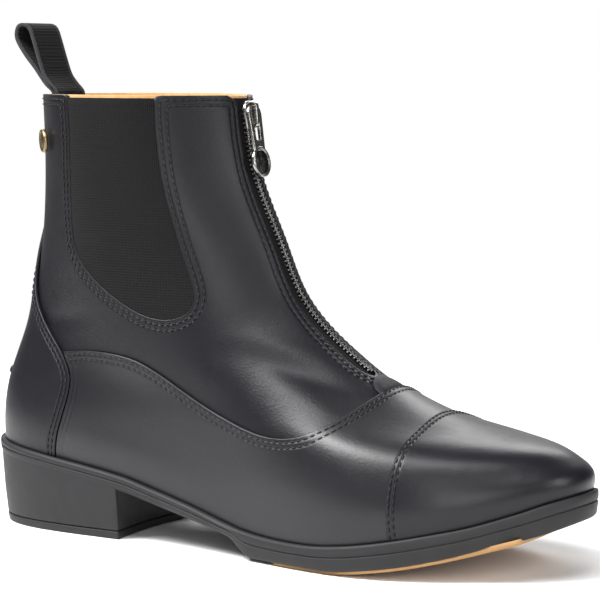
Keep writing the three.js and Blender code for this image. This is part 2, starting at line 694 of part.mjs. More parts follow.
add("tread_insert", treadInsert, 0x9a7448, 0.8);
add("insole", insole, 0xb98c58, 0.9);

// The middle of the box over the floor is the origin
const box = new THREE.Box3().setFromObject(boot);
const middle = box.getCenter(new THREE.Vector3());
boot.position.set(-middle.x, -middle.y, -box.min.z);

export default boot;
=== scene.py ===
import math
import bpy
import numpy as np
from mathutils import Matrix, Vector


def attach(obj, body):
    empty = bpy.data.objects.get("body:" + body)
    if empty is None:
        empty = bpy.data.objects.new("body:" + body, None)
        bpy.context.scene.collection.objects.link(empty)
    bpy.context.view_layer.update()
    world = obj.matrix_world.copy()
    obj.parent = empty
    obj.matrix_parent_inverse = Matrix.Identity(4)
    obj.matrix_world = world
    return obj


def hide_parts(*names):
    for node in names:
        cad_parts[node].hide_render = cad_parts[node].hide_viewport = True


# A right ankle boot for riding, dressed on its CAD frame.
# Lengths are millimetres in the last's own coordinates, x from the sole's back and z from the
# floor, until a mesh is made. A place on the last is a row (0 at the sole, 11 at the collar)
# and a turn (0 at the back, 0.25 outer side, 0.5 front, 0.75 inner side).
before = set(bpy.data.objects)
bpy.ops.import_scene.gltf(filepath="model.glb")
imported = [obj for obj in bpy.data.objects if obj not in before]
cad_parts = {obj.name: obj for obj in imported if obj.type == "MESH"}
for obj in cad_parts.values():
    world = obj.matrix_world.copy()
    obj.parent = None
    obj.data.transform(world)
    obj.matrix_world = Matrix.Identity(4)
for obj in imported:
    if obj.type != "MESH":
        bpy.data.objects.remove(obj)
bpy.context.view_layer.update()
BOOT = "boot"
PULL = "pull_tab"
FRAME_ORIGIN = np.array([141.84, 1.2313, 0.0])

# Sizes shared with the CAD source
SOLE_LENGTH = 288
BALL_WIDTH = 102
COLLAR = 192
HEEL_SEAT = 38.5
BALL_SEAT = 10.8
TOE_SEAT = 36.5
BREAST_AT = 82
BREAST_HOLLOW = 5
HEEL_TAPER = 3.6
SIDE_TAPER = 3.2
WAIST = 5.9
FOREPART = 10.6
FLAT_START = 151
ARCH_STEP = 14
FLAT_END = 187
TOE_SPRING = 26
LIP = 4.2
TOP_PIECE = 3.6
INSERT_PROUD = 1.2
INSERT_THICKNESS = 2.4
INSERT_INSET = 3.4
INSERT_START = 166
INSERT_END = 258
INSERT_BOW = 9
GAP = 0.3
VAMP_OUT = GAP + 1.1
COUNTER_OUT = GAP + 1.6
CAP_OUT = GAP + 1.7
ELASTIC_DEPTH = 0.5
ELASTIC_THICKNESS = 1.4
ELASTIC_DROP = 1.2
LEATHER = 1.9
LINING = 2.2
ZIP_SLOT = 14
ZIP_FOLD = 2.2  # leather that reaches over the slot's edge towards the teeth
ZIP_FOOT = 76
COLLAR_CORNER = 5
TAPE_DEPTH = 1.1
TAPE_THICKNESS = 0.9
CHAIN_PROUD = 0.9
SLIDER_DROP = 8.5
SLIDER_LENGTH = 12
SLIDER_TOP = 9
SLIDER_FOOT = 6.6
SLIDER_PLATE = 1.4
BRIDGE_WIDTH = 2.4
BRIDGE_LENGTH = 11
BRIDGE_RISE = 3.6
BRIDGE_BAR = 1.1
PIN_DROP = 2.6
PULL_TOP = 10.4
PULL_FOOT = 8
PULL_THICKNESS = 1.6
PULL_REACH = 31
PULL_ARM = 1.6
PULL_LEAN = 3.5
PULL_WINDOW = 14
DISC = 13.5
DISC_THICKNESS = 2.2
LOOP_WIDTH = 21
LOOP_THICKNESS = 1.5
LOOP_RISE = 30.5
LOOP_LEAN = 17.7
LOOP_TAIL = 16
SPUR_WIDTH = 22
SPUR_HEIGHT = 67.5
SPUR_THICKNESS = 2.2
SPUR_PROUD = 1.3
STUD = 10.5
STUD_THICKNESS = 2
STUD_DROP = 20
STUD_TURN = 0.115
INSOLE = 3

# Rings of the last, in percent of the sole's length, the collar's height and the ball's width
RING_COLUMNS = (
    "back", "back_up", "front", "front_up", "sag", "toe_in",
    "back_blunt", "heel_out", "seat_out", "waist_out", "ball_out", "toe_out",
    "front_blunt", "toe_inner", "ball_in", "waist_in", "seat_in", "heel_in",
)
RING_ROWS = (
    (1.3, 20.5, 97.2, 18.6, 100, 5, 61, 25.0, 30.4, 36.8, 46.0, 25.0, 54, 29.0, 43.5, 32.0, 29.6, 24.0),
    (1.3, 24.5, 97.3, 21.8, 80, 5, 61, 26.0, 31.8, 37.4, 47.0, 26.0, 55, 30.0, 44.5, 33.0, 31.0, 25.0),
    (1.5, 28.7, 95.6, 24.4, 60, 5, 60, 26.0, 31.8, 37.2, 46.2, 25.5, 52, 29.5, 43.6, 33.5, 31.0, 25.0),
    (2.0, 33.0, 92.9, 26.8, 41, 4.5, 58, 25.0, 31.4, 36.4, 43.8, 24.5, 49, 27.5, 41.6, 34.0, 31.0, 24.0),
    (2.9, 37.2, 88.0, 28.4, 25, 4, 56, 23.4, 30.6, 35.4, 40.4, 22.5, 45, 25.0, 39.2, 34.2, 30.5, 22.8),
    (4.2, 42.0, 80.3, 30.3, 12, 3, 53, 21.4, 29.8, 34.0, 35.8, 19.5, 40, 21.5, 35.8, 34.0, 30.0, 21.2),
    (5.8, 48.4, 69.8, 35.9, 4, 2, 50, 19.6, 29.4, 33.3, 31.6, 16.8, 35, 18.2, 32.2, 33.5, 29.6, 19.6),
    (6.9, 56.4, 60.4, 44.5, 0, 1, 47, 18.6, 29.4, 33.0, 29.2, 15.0, 31, 15.8, 29.4, 33.0, 29.4, 18.6),
    (8.0, 66.0, 53.3, 55.1, 0, 0, 46, 18.4, 30.2, 33.6, 28.6, 14.2, 29, 14.6, 28.6, 33.6, 30.2, 18.4),
    (8.8, 76.6, 49.2, 67.8, 0, 0, 46, 18.8, 31.6, 35.4, 29.8, 14.4, 29, 14.4, 29.8, 35.4, 31.6, 18.8),
    (9.2, 88.3, 44.8, 83.0, 0, 0, 47, 19.4, 33.4, 37.6, 32.0, 15.2, 30, 15.2, 32.0, 37.6, 33.4, 19.4),
    (9.1, 100, 42.9, 100, 0, 0, 48, 20.0, 35.0, 39.6, 34.6, 17.0, 34, 17.0, 34.6, 39.6, 35.0, 20.0),
)
TOP_ROW = len(RING_ROWS) - 1
STATIONS = 12
FAR_AWAY = 2.0 * SOLE_LENGTH

# Seams from the side, in percent of the sole's length and the collar's height
VAMP_SEAM = (
    (11, 40.8), (16.5, 41.6), (22.4, 42.5), (29, 41.9), (34, 39.6), (43, 32.9), (50.3, 28.9),
    (55.5, 27.4), (60.4, 28), (63.9, 30.3), (66.2, 33.2), (67.9, 36.6), (68.9, 41),
)
CAP_SEAM = ((75.5, -20), (75.5, 2), (75.2, 12), (75.1, 20), (75.3, 27), (75.4, 33), (75.6, 38), (76, 60))
COUNTER_SEAM = (
    (15.6, -20), (15.6, 10), (15.8, 17.4), (16.4, 22.1), (17.5, 27.3), (18.4, 32), (18.5, 36), (17.4, 39.6),
    (15.8, 42.6), (13.8, 45.6), (11.8, 48.8), (10, 52.6), (8.8, 58.2), (8.6, 66.4), (8.9, 76.2),
    (9.4, 88), (9.5, 104), (9.5, 130),
)
GUSSET_EDGE = (
    (20.3, 106), (20.2, 90.7), (19.6, 80), (19.3, 71), (20, 65), (22.6, 60), (26.8, 55.4), (32, 51.7),
    (36.5, 50.8), (39.8, 52.5), (40.8, 56), (40, 60.5), (38.4, 67.5), (36.8, 75.4), (35.6, 83),
    (34.9, 93), (34.8, 106),
)


# Curves
def through(rows):
    """A smooth curve through rows of (place, value), level beyond its ends."""
    place, value = np.array(rows, float).T
    step = np.diff(place)
    slope = np.empty_like(value)
    slope[1:-1] = (value[2:] - value[:-2]) / (place[2:] - place[:-2])
    slope[0] = (value[1] - value[0]) / step[0]
    slope[-1] = (value[-1] - value[-2]) / step[-1]

    def at(x):
        x = np.clip(x, place[0], place[-1])
        i = np.clip(np.searchsorted(place, x) - 1, 0, len(step) - 1)
        b = (x - place[i]) / step[i]
        m0 = slope[i] * step[i]
        m1 = slope[i + 1] * step[i]
        rise = value[i + 1] - value[i]
        return value[i] + b * (m0 + b * (3 * rise - 2 * m0 - m1 + b * (m0 + m1 - 2 * rise)))

    return at


def smooth_line(points, samples):
    """Points along a smooth open line through the given points."""
    p = np.array(points, float)
    n = len(p)
    s = np.linspace(0, n - 1, samples + 1)
    i = np.minimum(s.astype(int), n - 2)
    b = (s - i)[:, None]
    p0, p1, p2, p3 = p[np.maximum(i - 1, 0)], p[i], p[i + 1], p[np.minimum(i + 2, n - 1)]
    v0, v1 = (p2 - p0) / 2, (p3 - p1) / 2
    return ((2 * (p1 - p2) + v0 + v1) * b + 3 * (p2 - p1) - 2 * v0 - v1) * b**2 + v0 * b + p1


def seam(rows):
    return smooth_line(rows, 6 * len(rows)) * (SOLE_LENGTH / 100, COLLAR / 100)


def left_of(line, points):
    """Distance in mm from points to a line, positive on the left of its direction."""
    start, run = line[:-1], np.diff(line, axis=0)
    away = points[:, None] - start
    share = np.clip((away * run).sum(-1) / (run * run).sum(-1), 0, 1)
    off = away - share[..., None] * run
    reach = np.hypot(off[..., 0], off[..., 1])
    k = reach.argmin(1)
    n = np.arange(len(points))
    cross = run[k, 0] * off[n, k, 1] - run[k, 1] * off[n, k, 0]
    return np.where(cross < 0, -1, 1) * reach[n, k]


# The sole's edge from the side
heel_rise = through([
    (0, 1), (0.15, 0.83), (0.28, 0.64), (0.34, 0.49), (0.41, 0.31), (0.466, 0.155), (0.51, 0.055),
    (0.56, 0.01), (0.6, 0),
])
toe_rise = through([
    (0.6, 0), (0.64, 0.015), (0.69, 0.08), (0.73, 0.155), (0.77, 0.245), (0.815, 0.355), (0.86, 0.475),
    (0.915, 0.68), (0.95, 0.83), (1, 1),
])
sole_body = through([
    (BREAST_AT, WAIST * 1.15), (FLAT_START - ARCH_STEP * 2.7, WAIST * 1.05),
    (FLAT_START - ARCH_STEP, WAIST * 0.9), (FLAT_START - ARCH_STEP * 0.7, WAIST),
    (FLAT_START - ARCH_STEP * 0.3, FOREPART * 0.9), (FLAT_START, FOREPART),
])
front_lift = through([
    (0, 0), (0.08, 0.02), (0.22, 0.1), (0.34, 0.185), (0.47, 0.305), (0.55, 0.39), (0.72, 0.59),
    (0.84, 0.74), (1, 1),
])


def sole_top(x):
    share = x / SOLE_LENGTH
    return BALL_SEAT + (HEEL_SEAT - BALL_SEAT) * heel_rise(share) + (TOE_SEAT - BALL_SEAT) * toe_rise(share)


def sole_under(x):
    share = (x - FLAT_END) / (SOLE_LENGTH - FLAT_END)
    lifted = INSERT_PROUD + (TOE_SPRING - INSERT_PROUD) * front_lift(share)
    return np.where(x > FLAT_END, lifted, np.maximum(INSERT_PROUD, sole_top(x) - sole_body(x)))


# The last
def natural_bends(values):
    """Second derivatives of a natural spline through equally spaced values."""
    system = np.eye(len(values))
    pull = np.zeros_like(values)
    for i in range(1, len(values) - 1):
        system[i, i - 1 : i + 2] = 1, 4, 1
        pull[i] = 6 * (values[i - 1] - 2 * values[i] + values[i + 1])
    return np.linalg.solve(system, pull)


def cubic(v0, v1, m0, m1, b):
    a = 1 - b
    return a * v0 + b * v1 + ((a**3 - a) * m0 + (b**3 - b) * m1) / 6


unit_of = {"back": SOLE_LENGTH, "front": SOLE_LENGTH, "back_up": COLLAR, "front_up": COLLAR, "sag": 1}
ring_sizes = np.array(RING_ROWS) * [unit_of.get(name, BALL_WIDTH) / 100 for name in RING_COLUMNS]
ring_bends = natural_bends(ring_sizes)
station_sine = np.array([abs(math.sin(math.tau * k / STATIONS)) if k % 6 else 1 for k in range(STATIONS)])
each = np.eye(STATIONS)
round_solve = np.linalg.inv(4 * each + np.roll(each, 1, 0) + np.roll(each, -1, 0))


def last(row, turn):
    """Points of the upper's outer face."""
    row, turn = (np.array(v, float) for v in np.broadcast_arrays(row, turn))
    i = np.clip(row.astype(int), 0, TOP_ROW - 1)
    sizes = cubic(ring_sizes[i], ring_sizes[i + 1], ring_bends[i], ring_bends[i + 1], (row - i)[..., None])
    back, back_up, front, front_up, sag, toe_in = np.moveaxis(sizes[..., :6], -1, 0)
    full = sizes[..., 6:] / station_sine
    bend = 6 * (np.roll(full, 1, -1) - 2 * full + np.roll(full, -1, -1)) @ round_solve
    place = turn * STATIONS
    k = np.floor(place).astype(int)
    here, there = (k % STATIONS)[..., None], ((k + 1) % STATIONS)[..., None]
    near = [np.take_along_axis(table, at, -1)[..., 0] for table in (full, bend) for at in (here, there)]
    width = cubic(*near, place - k)
    angle = math.tau * turn
    along = (1 - np.cos(angle)) / 2
    x = back + (front - back) * along
    first_back, first_back_up, first_front, first_front_up = ring_sizes[0, :4]
    first_along = (x - first_back) / (first_front - first_back)
    first_chord = first_back_up + (first_front_up - first_back_up) * first_along
    z = back_up + (front_up - back_up) * along + sag * (sole_top(x) + GAP - first_chord)
    return np.stack([x, toe_in * along**2 - np.sin(angle) * width, z], -1)


def unit(v):
    return v / np.maximum(np.linalg.norm(v, axis=-1, keepdims=True), 1e-9)


def face(row, turn):
    """Points of the upper's outer face, with the directions out of it."""
    row, turn = (np.array(v, float) for v in np.broadcast_arrays(row, turn))
    step = 1e-3
    up = last(np.minimum(row + step, TOP_ROW), turn) - last(np.maximum(row - step, 0), turn)
    onward = last(row, turn + step) - last(row, turn - step)
    return last(row, turn), unit(np.cross(onward, up))


# Regions of the last: distance in mm inside each edge, from points on the face
vamp_line = np.vstack([(-200, VAMP_SEAM[0][1] * COLLAR / 100), seam(VAMP_SEAM), (600, 2 * COLLAR)])
cap_line = seam(CAP_SEAM)
counter_line = seam(COUNTER_SEAM)
gusset_line = seam(GUSSET_EDGE)


def side_view(points):
    return points[..., [0, 2]]


def under_vamp_seam(points):
    return -left_of(vamp_line, side_view(points))


def beyond_cap_seam(points):
    return -left_of(cap_line, side_view(points))


def behind_counter_seam(points):
    return left_of(counter_line, side_view(points))


def in_gusset(points):
    return left_of(gusset_line, side_view(points))


def in_slot(points, half=ZIP_SLOT / 2, foot=ZIP_FOOT, flare=COLLAR_CORNER):
    """Inside the zip's slot, which has a round foot and round corners at the collar."""
    x, y, z = points.T
    rise = np.clip(z - (COLLAR - flare), 0, flare) if flare else 0
    edge = half + (flare - np.sqrt(np.maximum(flare**2 - rise**2, 0)) if flare else 0)
    straight = edge - np.abs(y)
    round_foot = half - np.hypot(y, z - foot - half)
    inside = np.where(z > foot + half, straight, round_foot)
    return np.where(x > SOLE_LENGTH / 3, inside, -FAR_AWAY)


def below_collar(points, drop=0.0):
    return COLLAR - drop - points[:, 2]


# Meshes
def clip(places, triangles, value):
    """The part of a triangle mesh where the value is above zero, and the new places on its edge."""
    inside = value > 0
    count = inside[triangles].sum(1)
    faces = [tuple(t) for t in triangles[count == 3].tolist()]
    added, made = [], {}

    def crossing(a, b):
        key = (min(a, b), max(a, b))
        if key not in made:
            share = value[a] / (value[a] - value[b])
            made[key] = len(places) + len(added)
            added.append(places[a] + share * (places[b] - places[a]))
        return made[key]

    for corners in triangles[(count > 0) & (count < 3)].tolist():
        kept = []
        for a, b in zip(corners, corners[1:] + corners[:1]):
            if inside[a]:
                kept.append(a)
            if inside[a] != inside[b]:
                kept.append(crossing(a, b))
        faces.append(tuple(kept))
    return np.vstack([places, *added]) if added else places, faces


def joined(places, faces):
    """The same mesh without unused or double places; a turn of 1 is a turn of 0."""
    used = sorted({v for f in faces for v in f})
    keys = {}
    index = {}
    for v in used:
        key = (round(places[v][0], 6), round(places[v][1] % 1, 7) % 1)
        index[v] = keys.setdefault(key, len(keys))
    merged = []
    for f in faces:
        corners = [index[v] for v in f]
        corners = [v for k, v in enumerate(corners) if v != corners[k - 1]]
        if len(corners) > 2:
            merged.append(tuple(corners))
    return np.array(list(keys)), merged


def edge_loops(faces):
    """The open edges of a mesh as closed rounds of corners."""
    edges = {(f[k - 1], f[k]) for f in faces for k in range(len(f))}
    after = {a: b for a, b in edges if (b, a) not in edges}
    loops = []
    while after:
        start, here = after.popitem()
        loop = [start]
        while here is not None and here != start:
            loop.append(here)
            here = after.pop(here, None)
        if here is not None and len(loop) > 3:
            loops.append(loop)
    return loops


def make(name, points, faces, material, body=BOOT, replaces=(), slot=None, smooth=True, edge=None):
    """A mesh object from points in mm that rides on a body."""
    mesh = bpy.data.meshes.new(name)
    mesh.from_pydata(((points - FRAME_ORIGIN) / 1000).tolist(), [], faces)
    if smooth:
        mesh.shade_smooth()
    else:
        mesh.shade_flat()
    if edge is not None:
        mesh.attributes.new("edge", "FLOAT", "POINT").data.foreach_set("value", np.array(edge, np.float32))
    mesh.materials.append(material)
    piece = bpy.data.objects.new(name, mesh)
    bpy.context.scene.collection.objects.link(piece)
    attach(piece, body)
    if replaces:
        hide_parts(*replaces)
    return piece


def sides(sections, n):
    """Faces round and along sections of n points each."""
    return [
        (r * n + k, r * n + (k + 1) % n, (r + 1) * n + (k + 1) % n, (r + 1) * n + k)
        for r in range(sections - 1)
        for k in range(n)
    ]


def tube(sections, n, flipped=False):
    """The same with both ends closed."""
    faces = sides(sections, n) + [tuple(reversed(range(n))), tuple(range((sections - 1) * n, sections * n))]
    return [tuple(reversed(f)) for f in faces] if flipped else faces


def together(*shapes):
    """Shapes of points and faces as one."""
    points, faces, total = [], [], 0
    for p, f in shapes:
        points.append(p)
        faces += [tuple(v + total for v in c) for c in f]
        total += len(p)
    return np.vstack(points), faces


def grid(rows, turns):
    """Places over a range of rows and turns, and the triangles between them."""
    places = np.stack(np.meshgrid(rows, turns, indexing="ij"), -1).reshape(-1, 2)
    index = np.arange(len(places)).reshape(len(rows), len(turns))
    a, b, c, d = index[:-1, :-1], index[:-1, 1:], index[1:, 1:], index[1:, :-1]
    halves = [np.stack(half, -1).reshape(-1, 3) for half in ((a, b, c), (a, c, d))]
    return places, np.vstack(halves)


RIM_ANGLES = np.radians([30, 60, 90])


def panel(name, region, high, low, rows, turns, material, relief=None, roundness=0.35, **rest):
    """A sheet of leather or cloth on the last, cut where the region ends, with a rounded edge."""
    places, triangles = grid(rows, turns)
    value = region(last(*places.T))
    places, faces = joined(*clip(places, triangles, value - roundness))
    base, out = face(*places.T)
    lift = relief(base, places) if relief else 0
    top = base + out * (high + lift)[:, None] if relief else base + out * high
    bottom = base + out * low
    n = len(places)
    points, edge = [top, bottom], [region(base), np.zeros(n)]
    faces = faces + [tuple(v + n for v in reversed(f)) for f in faces]
    count = 2 * n
    for loop in edge_loops(faces[: len(faces) // 2]):
        p, o = top[loop], out[loop]
        sideways = unit(np.cross(np.roll(p, -1, 0) - np.roll(p, 1, 0), o))
        for _ in range(2):
            sideways = unit(sideways + np.roll(sideways, 1, 0) + np.roll(sideways, -1, 0))
        rims = [p + roundness * (math.sin(a) * sideways - (1 - math.cos(a)) * o) for a in RIM_ANGLES]
        rims.append(bottom[loop] + roundness * sideways)
        m = len(loop)
        levels = [loop] + [list(range(count + k * m, count + (k + 1) * m)) for k in range(len(rims))]
        levels.append([v + n for v in loop])
        for upper, lower in zip(levels, levels[1:]):
            for k in range(m):
                faces.append((upper[k], upper[k - 1], lower[k - 1], lower[k]))
        points += rims
        edge += [np.zeros(m)] * len(rims)
        count += m * len(rims)
    return make(name, np.vstack(points), faces, material, edge=np.concatenate(edge), **rest)


# Stitching
STITCH_PITCH = 3.0
STITCH_LENGTH = 2.3
STITCH_WIDTH = 0.62
STITCH_LIFT = 0.05
THREAD_SIDES = 6
STITCH_SECTIONS = (
    # along as a share of half its length, width as a share, rise in mm
    (-1, 0.25, -0.175), (-0.7, 0.8, 0.05), (0, 1, 0.125), (0.7, 0.8, 0.05), (1, 0.25, -0.175),
)


def contour(region, distance, rows, turns):
    """Lines on the last at a distance inside a region's edge, as lists of places."""
    places, triangles = grid(rows, turns)
    count = len(places)
    places, faces = clip(places, triangles, region(last(*places.T)) - distance)
    lines = []
    for loop in edge_loops(faces):
        cut = [v >= count for v in loop]
        if all(cut):
            lines.append(places[loop + loop[:1]])
            continue
        start = next(k for k in range(len(loop)) if cut[k] and not cut[k - 1])
        run = []
        for k in range(len(loop) + 1):
            v = loop[(start + k) % len(loop)]
            if v >= count and k < len(loop):
                run.append(v)
            elif run:
                lines.append(places[run])
                run = []
    return [line for line in lines if len(line) > 3]


def along_line(line, pitch):
    """Places spaced evenly by pitch along a line of places."""
    points = last(*line.T)
    reach = np.concatenate([[0], np.cumsum(np.linalg.norm(np.diff(points, axis=0), axis=1))])
    marks = np.arange(pitch / 2, reach[-1], pitch)
    return np.stack([np.interp(marks, reach, line[:, c]) for c in (0, 1)], -1)


def thread_shape():
    """One stitch on its side: points over length, width and height, and faces."""
    half = STITCH_WIDTH / 2
    points = [
        (along * STITCH_LENGTH / 2, wide * math.cos(a) * half, rise + wide * math.sin(a) * half)
        for along, wide, rise in STITCH_SECTIONS
        for a in (math.tau * k / THREAD_SIDES for k in range(THREAD_SIDES))
    ]
    return np.array(points), tube(len(STITCH_SECTIONS), THREAD_SIDES, flipped=True)


def scattered(shape, origins, along, across, out):
    """Copies of a shape at many places, as one mesh."""
    points, faces = shape
    axes = np.stack([along, across, out], 1)
    everywhere = origins[:, None] + np.einsum("pi,nij->npj", points, axes)
    n = len(points)
    copies = [tuple(v + n * k for v in f) for k in range(len(origins)) for f in faces]
    return everywhere.reshape(-1, 3), copies


def stitches(name, region, distances, out_by, rows, turns, material, keep=None):
    """Rows of stitches at distances inside a region's edge."""
    shape = thread_shape()
    runs = []
    for distance in distances:
        for line in contour(region, distance, rows, turns):
            places = along_line(line, STITCH_PITCH)
            if len(places) < 2:
                continue
            base, out = face(*places.T)
            run = unit(np.gradient(base, axis=0))
            if keep is not None:
                wanted = keep(base) > 0
                base, out, run = base[wanted], out[wanted], run[wanted]
            if len(base):
                middles = base + out * (out_by + STITCH_LIFT)
                runs.append(scattered(shape, middles, run, unit(np.cross(out, run)), out))
    return make(name, *together(*runs), material, slot="leather")


# Materials
def add_node(tree, kind, settings=None, **values):
    """A node with its settings. Its sockets are named, or numbered as i0, i1 and so on."""
    made = tree.nodes.new("ShaderNode" + kind)
    for key, value in (settings or {}).items():
        setattr(made, key, value)
    for socket, value in values.items():
        numbered = socket[0] == "i" and socket[1:].isdigit()
        target = made.inputs[int(socket[1:]) if numbered else socket]
        if hasattr(value, "links"):
            tree.links.new(value, target)
        else:
            target.default_value = value
    return made


class Shader:
    """A node material with short calls for its nodes."""

    def __init__(self, name, **values):
        self.material = bpy.data.materials.new(name)
        self.material.use_nodes = True
        self.tree = self.material.node_tree
        self.surface = self.tree.nodes["Principled BSDF"]
        for socket, value in values.items():
            self.surface.inputs[socket.replace("_", " ")].default_value = value

    def node(self, kind, settings=None, **values):
        return add_node(self.tree, kind, settings, **values)

    def math(self, operation, a, b=0.0):
        return self.node("Math", {"operation": operation}, i0=a, i1=b).outputs[0]

    def place(self):
        return self.node("TexCoord").outputs["Object"]

    def noise(self, scale, detail=2.0):
        return self.node("TexNoise", Vector=self.place(), Scale=scale, Detail=detail).outputs["Fac"]

    def grain(self, scale, detail, height):
        """Uneven relief of a height in mm."""
        return self.math("MULTIPLY", self.noise(scale, detail), height)

    def cells(self, scale, height):
        """Relief of rounded cells, as on grained leather."""
        made = self.node("TexVoronoi", {"feature": "SMOOTH_F1"}, Vector=self.place(), Scale=scale)
        return self.math("MULTIPLY", made.outputs["Distance"], height)

    def groove(self, distances, width, depth):
        """Height in mm of furrows at distances in mm from a panel's edge."""
        edge = self.node("Attribute", {"attribute_name": "edge"}).outputs["Fac"]
        total = None
        for distance in distances:
            off = self.math("DIVIDE", self.math("SUBTRACT", edge, distance), width)
            dip = self.math("EXPONENT", self.math("MULTIPLY", self.math("MULTIPLY", off, off), -1.0))
            total = dip if total is None else self.math("ADD", total, dip)
        return self.math("MULTIPLY", total, -depth)

    def bump(self, heights, strength=1.0):
        """Bump from heights in mm, added up."""
        total = heights[0]
        for height in heights[1:]:
            total = self.math("ADD", total, height)
        made = self.node("Bump", Height=total, Distance=0.001, Strength=strength)
        self.link(made.outputs["Normal"], "Normal")

    def link(self, output, socket):
        self.tree.links.new(output, self.surface.inputs[socket])

    def vary(self, socket, driver, low, high):
        """A surface value between low and high with a node's value."""
        made = self.node("MapRange", Value=driver, i3=low, i4=high)
        self.link(made.outputs["Result"], socket)

    def tint(self, driver, dark, light):
        """The base colour between dark and light with a node's value."""
        made = self.node("Mix", {"data_type": "RGBA"}, i0=driver, i6=(*dark, 1), i7=(*light, 1))
        self.link(made.outputs[2], "Base Color")


FURROW_WIDTH = 0.55
FURROW_DEPTH = 0.32


def leather(name, rows, roughness=(0.34, 0.48), coat=0.0, grain=0.06):
    """Black leather, drawn in along the stitch rows."""
    s = Shader(name, Specular_IOR_Level=0.24, Coat_Weight=coat, Coat_Roughness=0.32)
    s.tint(s.noise(35, 3), (0.0042, 0.004, 0.0054), (0.0078, 0.0075, 0.0102))
    s.vary("Roughness", s.noise(120, 4), *roughness)
    fine, pores = s.cells(1150, grain), s.grain(3200, 2, grain)
    wrinkles, swell = s.grain(300, 3, 0.07), s.grain(55, 2, 0.3)
    heights = [fine, pores, wrinkles, swell]
    if rows:
        heights.append(s.groove(rows, FURROW_WIDTH, FURROW_DEPTH))
    s.bump(heights)
    return s.material


def cloth(name, dark, light, rib_scale, roughness=0.95):
    """Woven cloth: fine cross threads over whatever ribs its mesh has, with painted shade in the weave, so
    the colour is darker where the threads' relief is low.
    """
    s = Shader(name, Roughness=roughness, Specular_IOR_Level=0.06, Sheen_Weight=0.04, Sheen_Roughness=0.5)
    threads = s.node("TexWave", {"bands_direction": "X"}, Vector=s.place(), Scale=rib_scale).outputs["Fac"]
    fuzz = s.noise(2500, 2)
    # painted shade: the colour follows the same threads and fuzz as the bump, dark in the weave's hollows and
    # lighter on the raised threads
    s.tint(s.math("MULTIPLY", threads, fuzz), dark, light)
    s.bump([s.math("MULTIPLY", threads, 0.05), s.math("MULTIPLY", fuzz, 0.06)])
    return s.material


def suede(name, dark, light):
    s = Shader(name, Roughness=0.95, Specular_IOR_Level=0.15, Sheen_Weight=0.3, Sheen_Roughness=0.6)
    s.tint(s.noise(260, 6), dark, light)
    s.bump([s.grain(1600, 4, 0.16)])
    return s.material


def metal(name, color, dark, roughness=(0.2, 0.42)):
    s = Shader(name, Metallic=1.0)
    s.tint(s.noise(420, 5), dark, color)
    s.vary("Roughness", s.noise(700, 4), *roughness)
    s.bump([s.grain(1800, 3, 0.02)])
    return s.material


def rubber(name, dark, light, roughness=(0.5, 0.66)):
    s = Shader(name, Specular_IOR_Level=0.26)
    s.tint(s.noise(90, 4), dark, light)
    s.vary("Roughness", s.noise(200, 4), *roughness)
    s.bump([s.grain(2200, 3, 0.035), s.grain(140, 2, 0.08)])
    return s.material


def plain(name, color, grain, **values):
    """One colour with a fine grain, which is its scale, detail and height."""
    s = Shader(name, Base_Color=(*color, 1), **values)
    s.bump([s.grain(*grain)])
    return s.material


# Distances in mm of the stitch rows from each panel's edge
GUSSET_ROWS = (1.9, 4.3)
VAMP_ROWS = (1.5, 3.8)
COUNTER_ROWS = (1.9, 3.9)
CAP_ROWS = (1.0, 2.9)

# The boot's materials, with linear colours
shaft_leather = leather("shaft_leather", GUSSET_ROWS, (0.35, 0.48), 0.1)
vamp_leather = leather("vamp_leather", VAMP_ROWS, (0.34, 0.46), 0.4)
counter_leather = leather("counter_leather", COUNTER_ROWS, (0.35, 0.47), 0.1)
cap_leather = leather("cap_leather", CAP_ROWS, (0.3, 0.42), 0.15, 0.03)
trim_leather = leather("trim_leather", (), (0.5, 0.62), 0.0, 0.09)
elastic_cloth = cloth("elastic_cloth", (0.005, 0.005, 0.005), (0.024, 0.0235, 0.0235), 420)
tape_cloth = cloth("tape_cloth", (0.004, 0.004, 0.0045), (0.012, 0.012, 0.013), 800)
webbing_cloth = cloth("webbing_cloth", (0.006, 0.006, 0.0068), (0.02, 0.02, 0.022), 600)
binding_cloth = cloth("binding_cloth", (0.02, 0.02, 0.022), (0.07, 0.07, 0.075), 900)
thread = plain(
    "thread", (0.006, 0.006, 0.0065), (3500, 2, 0.05), Roughness=0.55, Specular_IOR_Level=0.35,
)
lining_suede = suede("lining_suede", (0.42, 0.2, 0.06), (0.72, 0.42, 0.17))
zip_metal = metal("zip_metal", (0.3, 0.295, 0.285), (0.05, 0.05, 0.05))
pull_metal = metal("pull_metal", (0.55, 0.53, 0.5), (0.09, 0.09, 0.09), (0.16, 0.34))
enamel = plain("enamel", (0.008, 0.008, 0.009), (1500, 3, 0.03), Roughness=0.35, Metallic=0.6)
stud_metal = metal("stud_metal", (0.4, 0.3, 0.16), (0.06, 0.045, 0.025), (0.28, 0.5))
sole_rubber = rubber("sole_rubber", (0.0135, 0.0135, 0.0145), (0.02, 0.02, 0.0215))
tread_rubber = rubber("tread_rubber", (0.3, 0.16, 0.065), (0.42, 0.25, 0.11), (0.6, 0.8))

# Panels of the upper
ROUND = np.linspace(0, 1, 341)
FRONT = np.linspace(0.06, 0.94, 321)
BACK = np.linspace(-0.32, 0.32, 221)
SHAFT_TUCK = 9  # leather under the vamp's edge


def shaft_region(points):
    slot = in_slot(points, ZIP_SLOT / 2 - ZIP_FOLD)
    return np.minimum.reduce([-in_gusset(points), -slot, below_collar(points)])


def shaft_kept(points):
    """The shaft's leather ends a little below the vamp's seam."""
    return np.minimum(shaft_region(points), SHAFT_TUCK - under_vamp_seam(points))


def vamp_region(points):
    return np.minimum(under_vamp_seam(points), -behind_counter_seam(points) - GAP)


def counter_region(points):
    return np.minimum(behind_counter_seam(points), below_collar(points))


def soft_hump(distance, width):
    return np.exp(-((distance / width) ** 2))


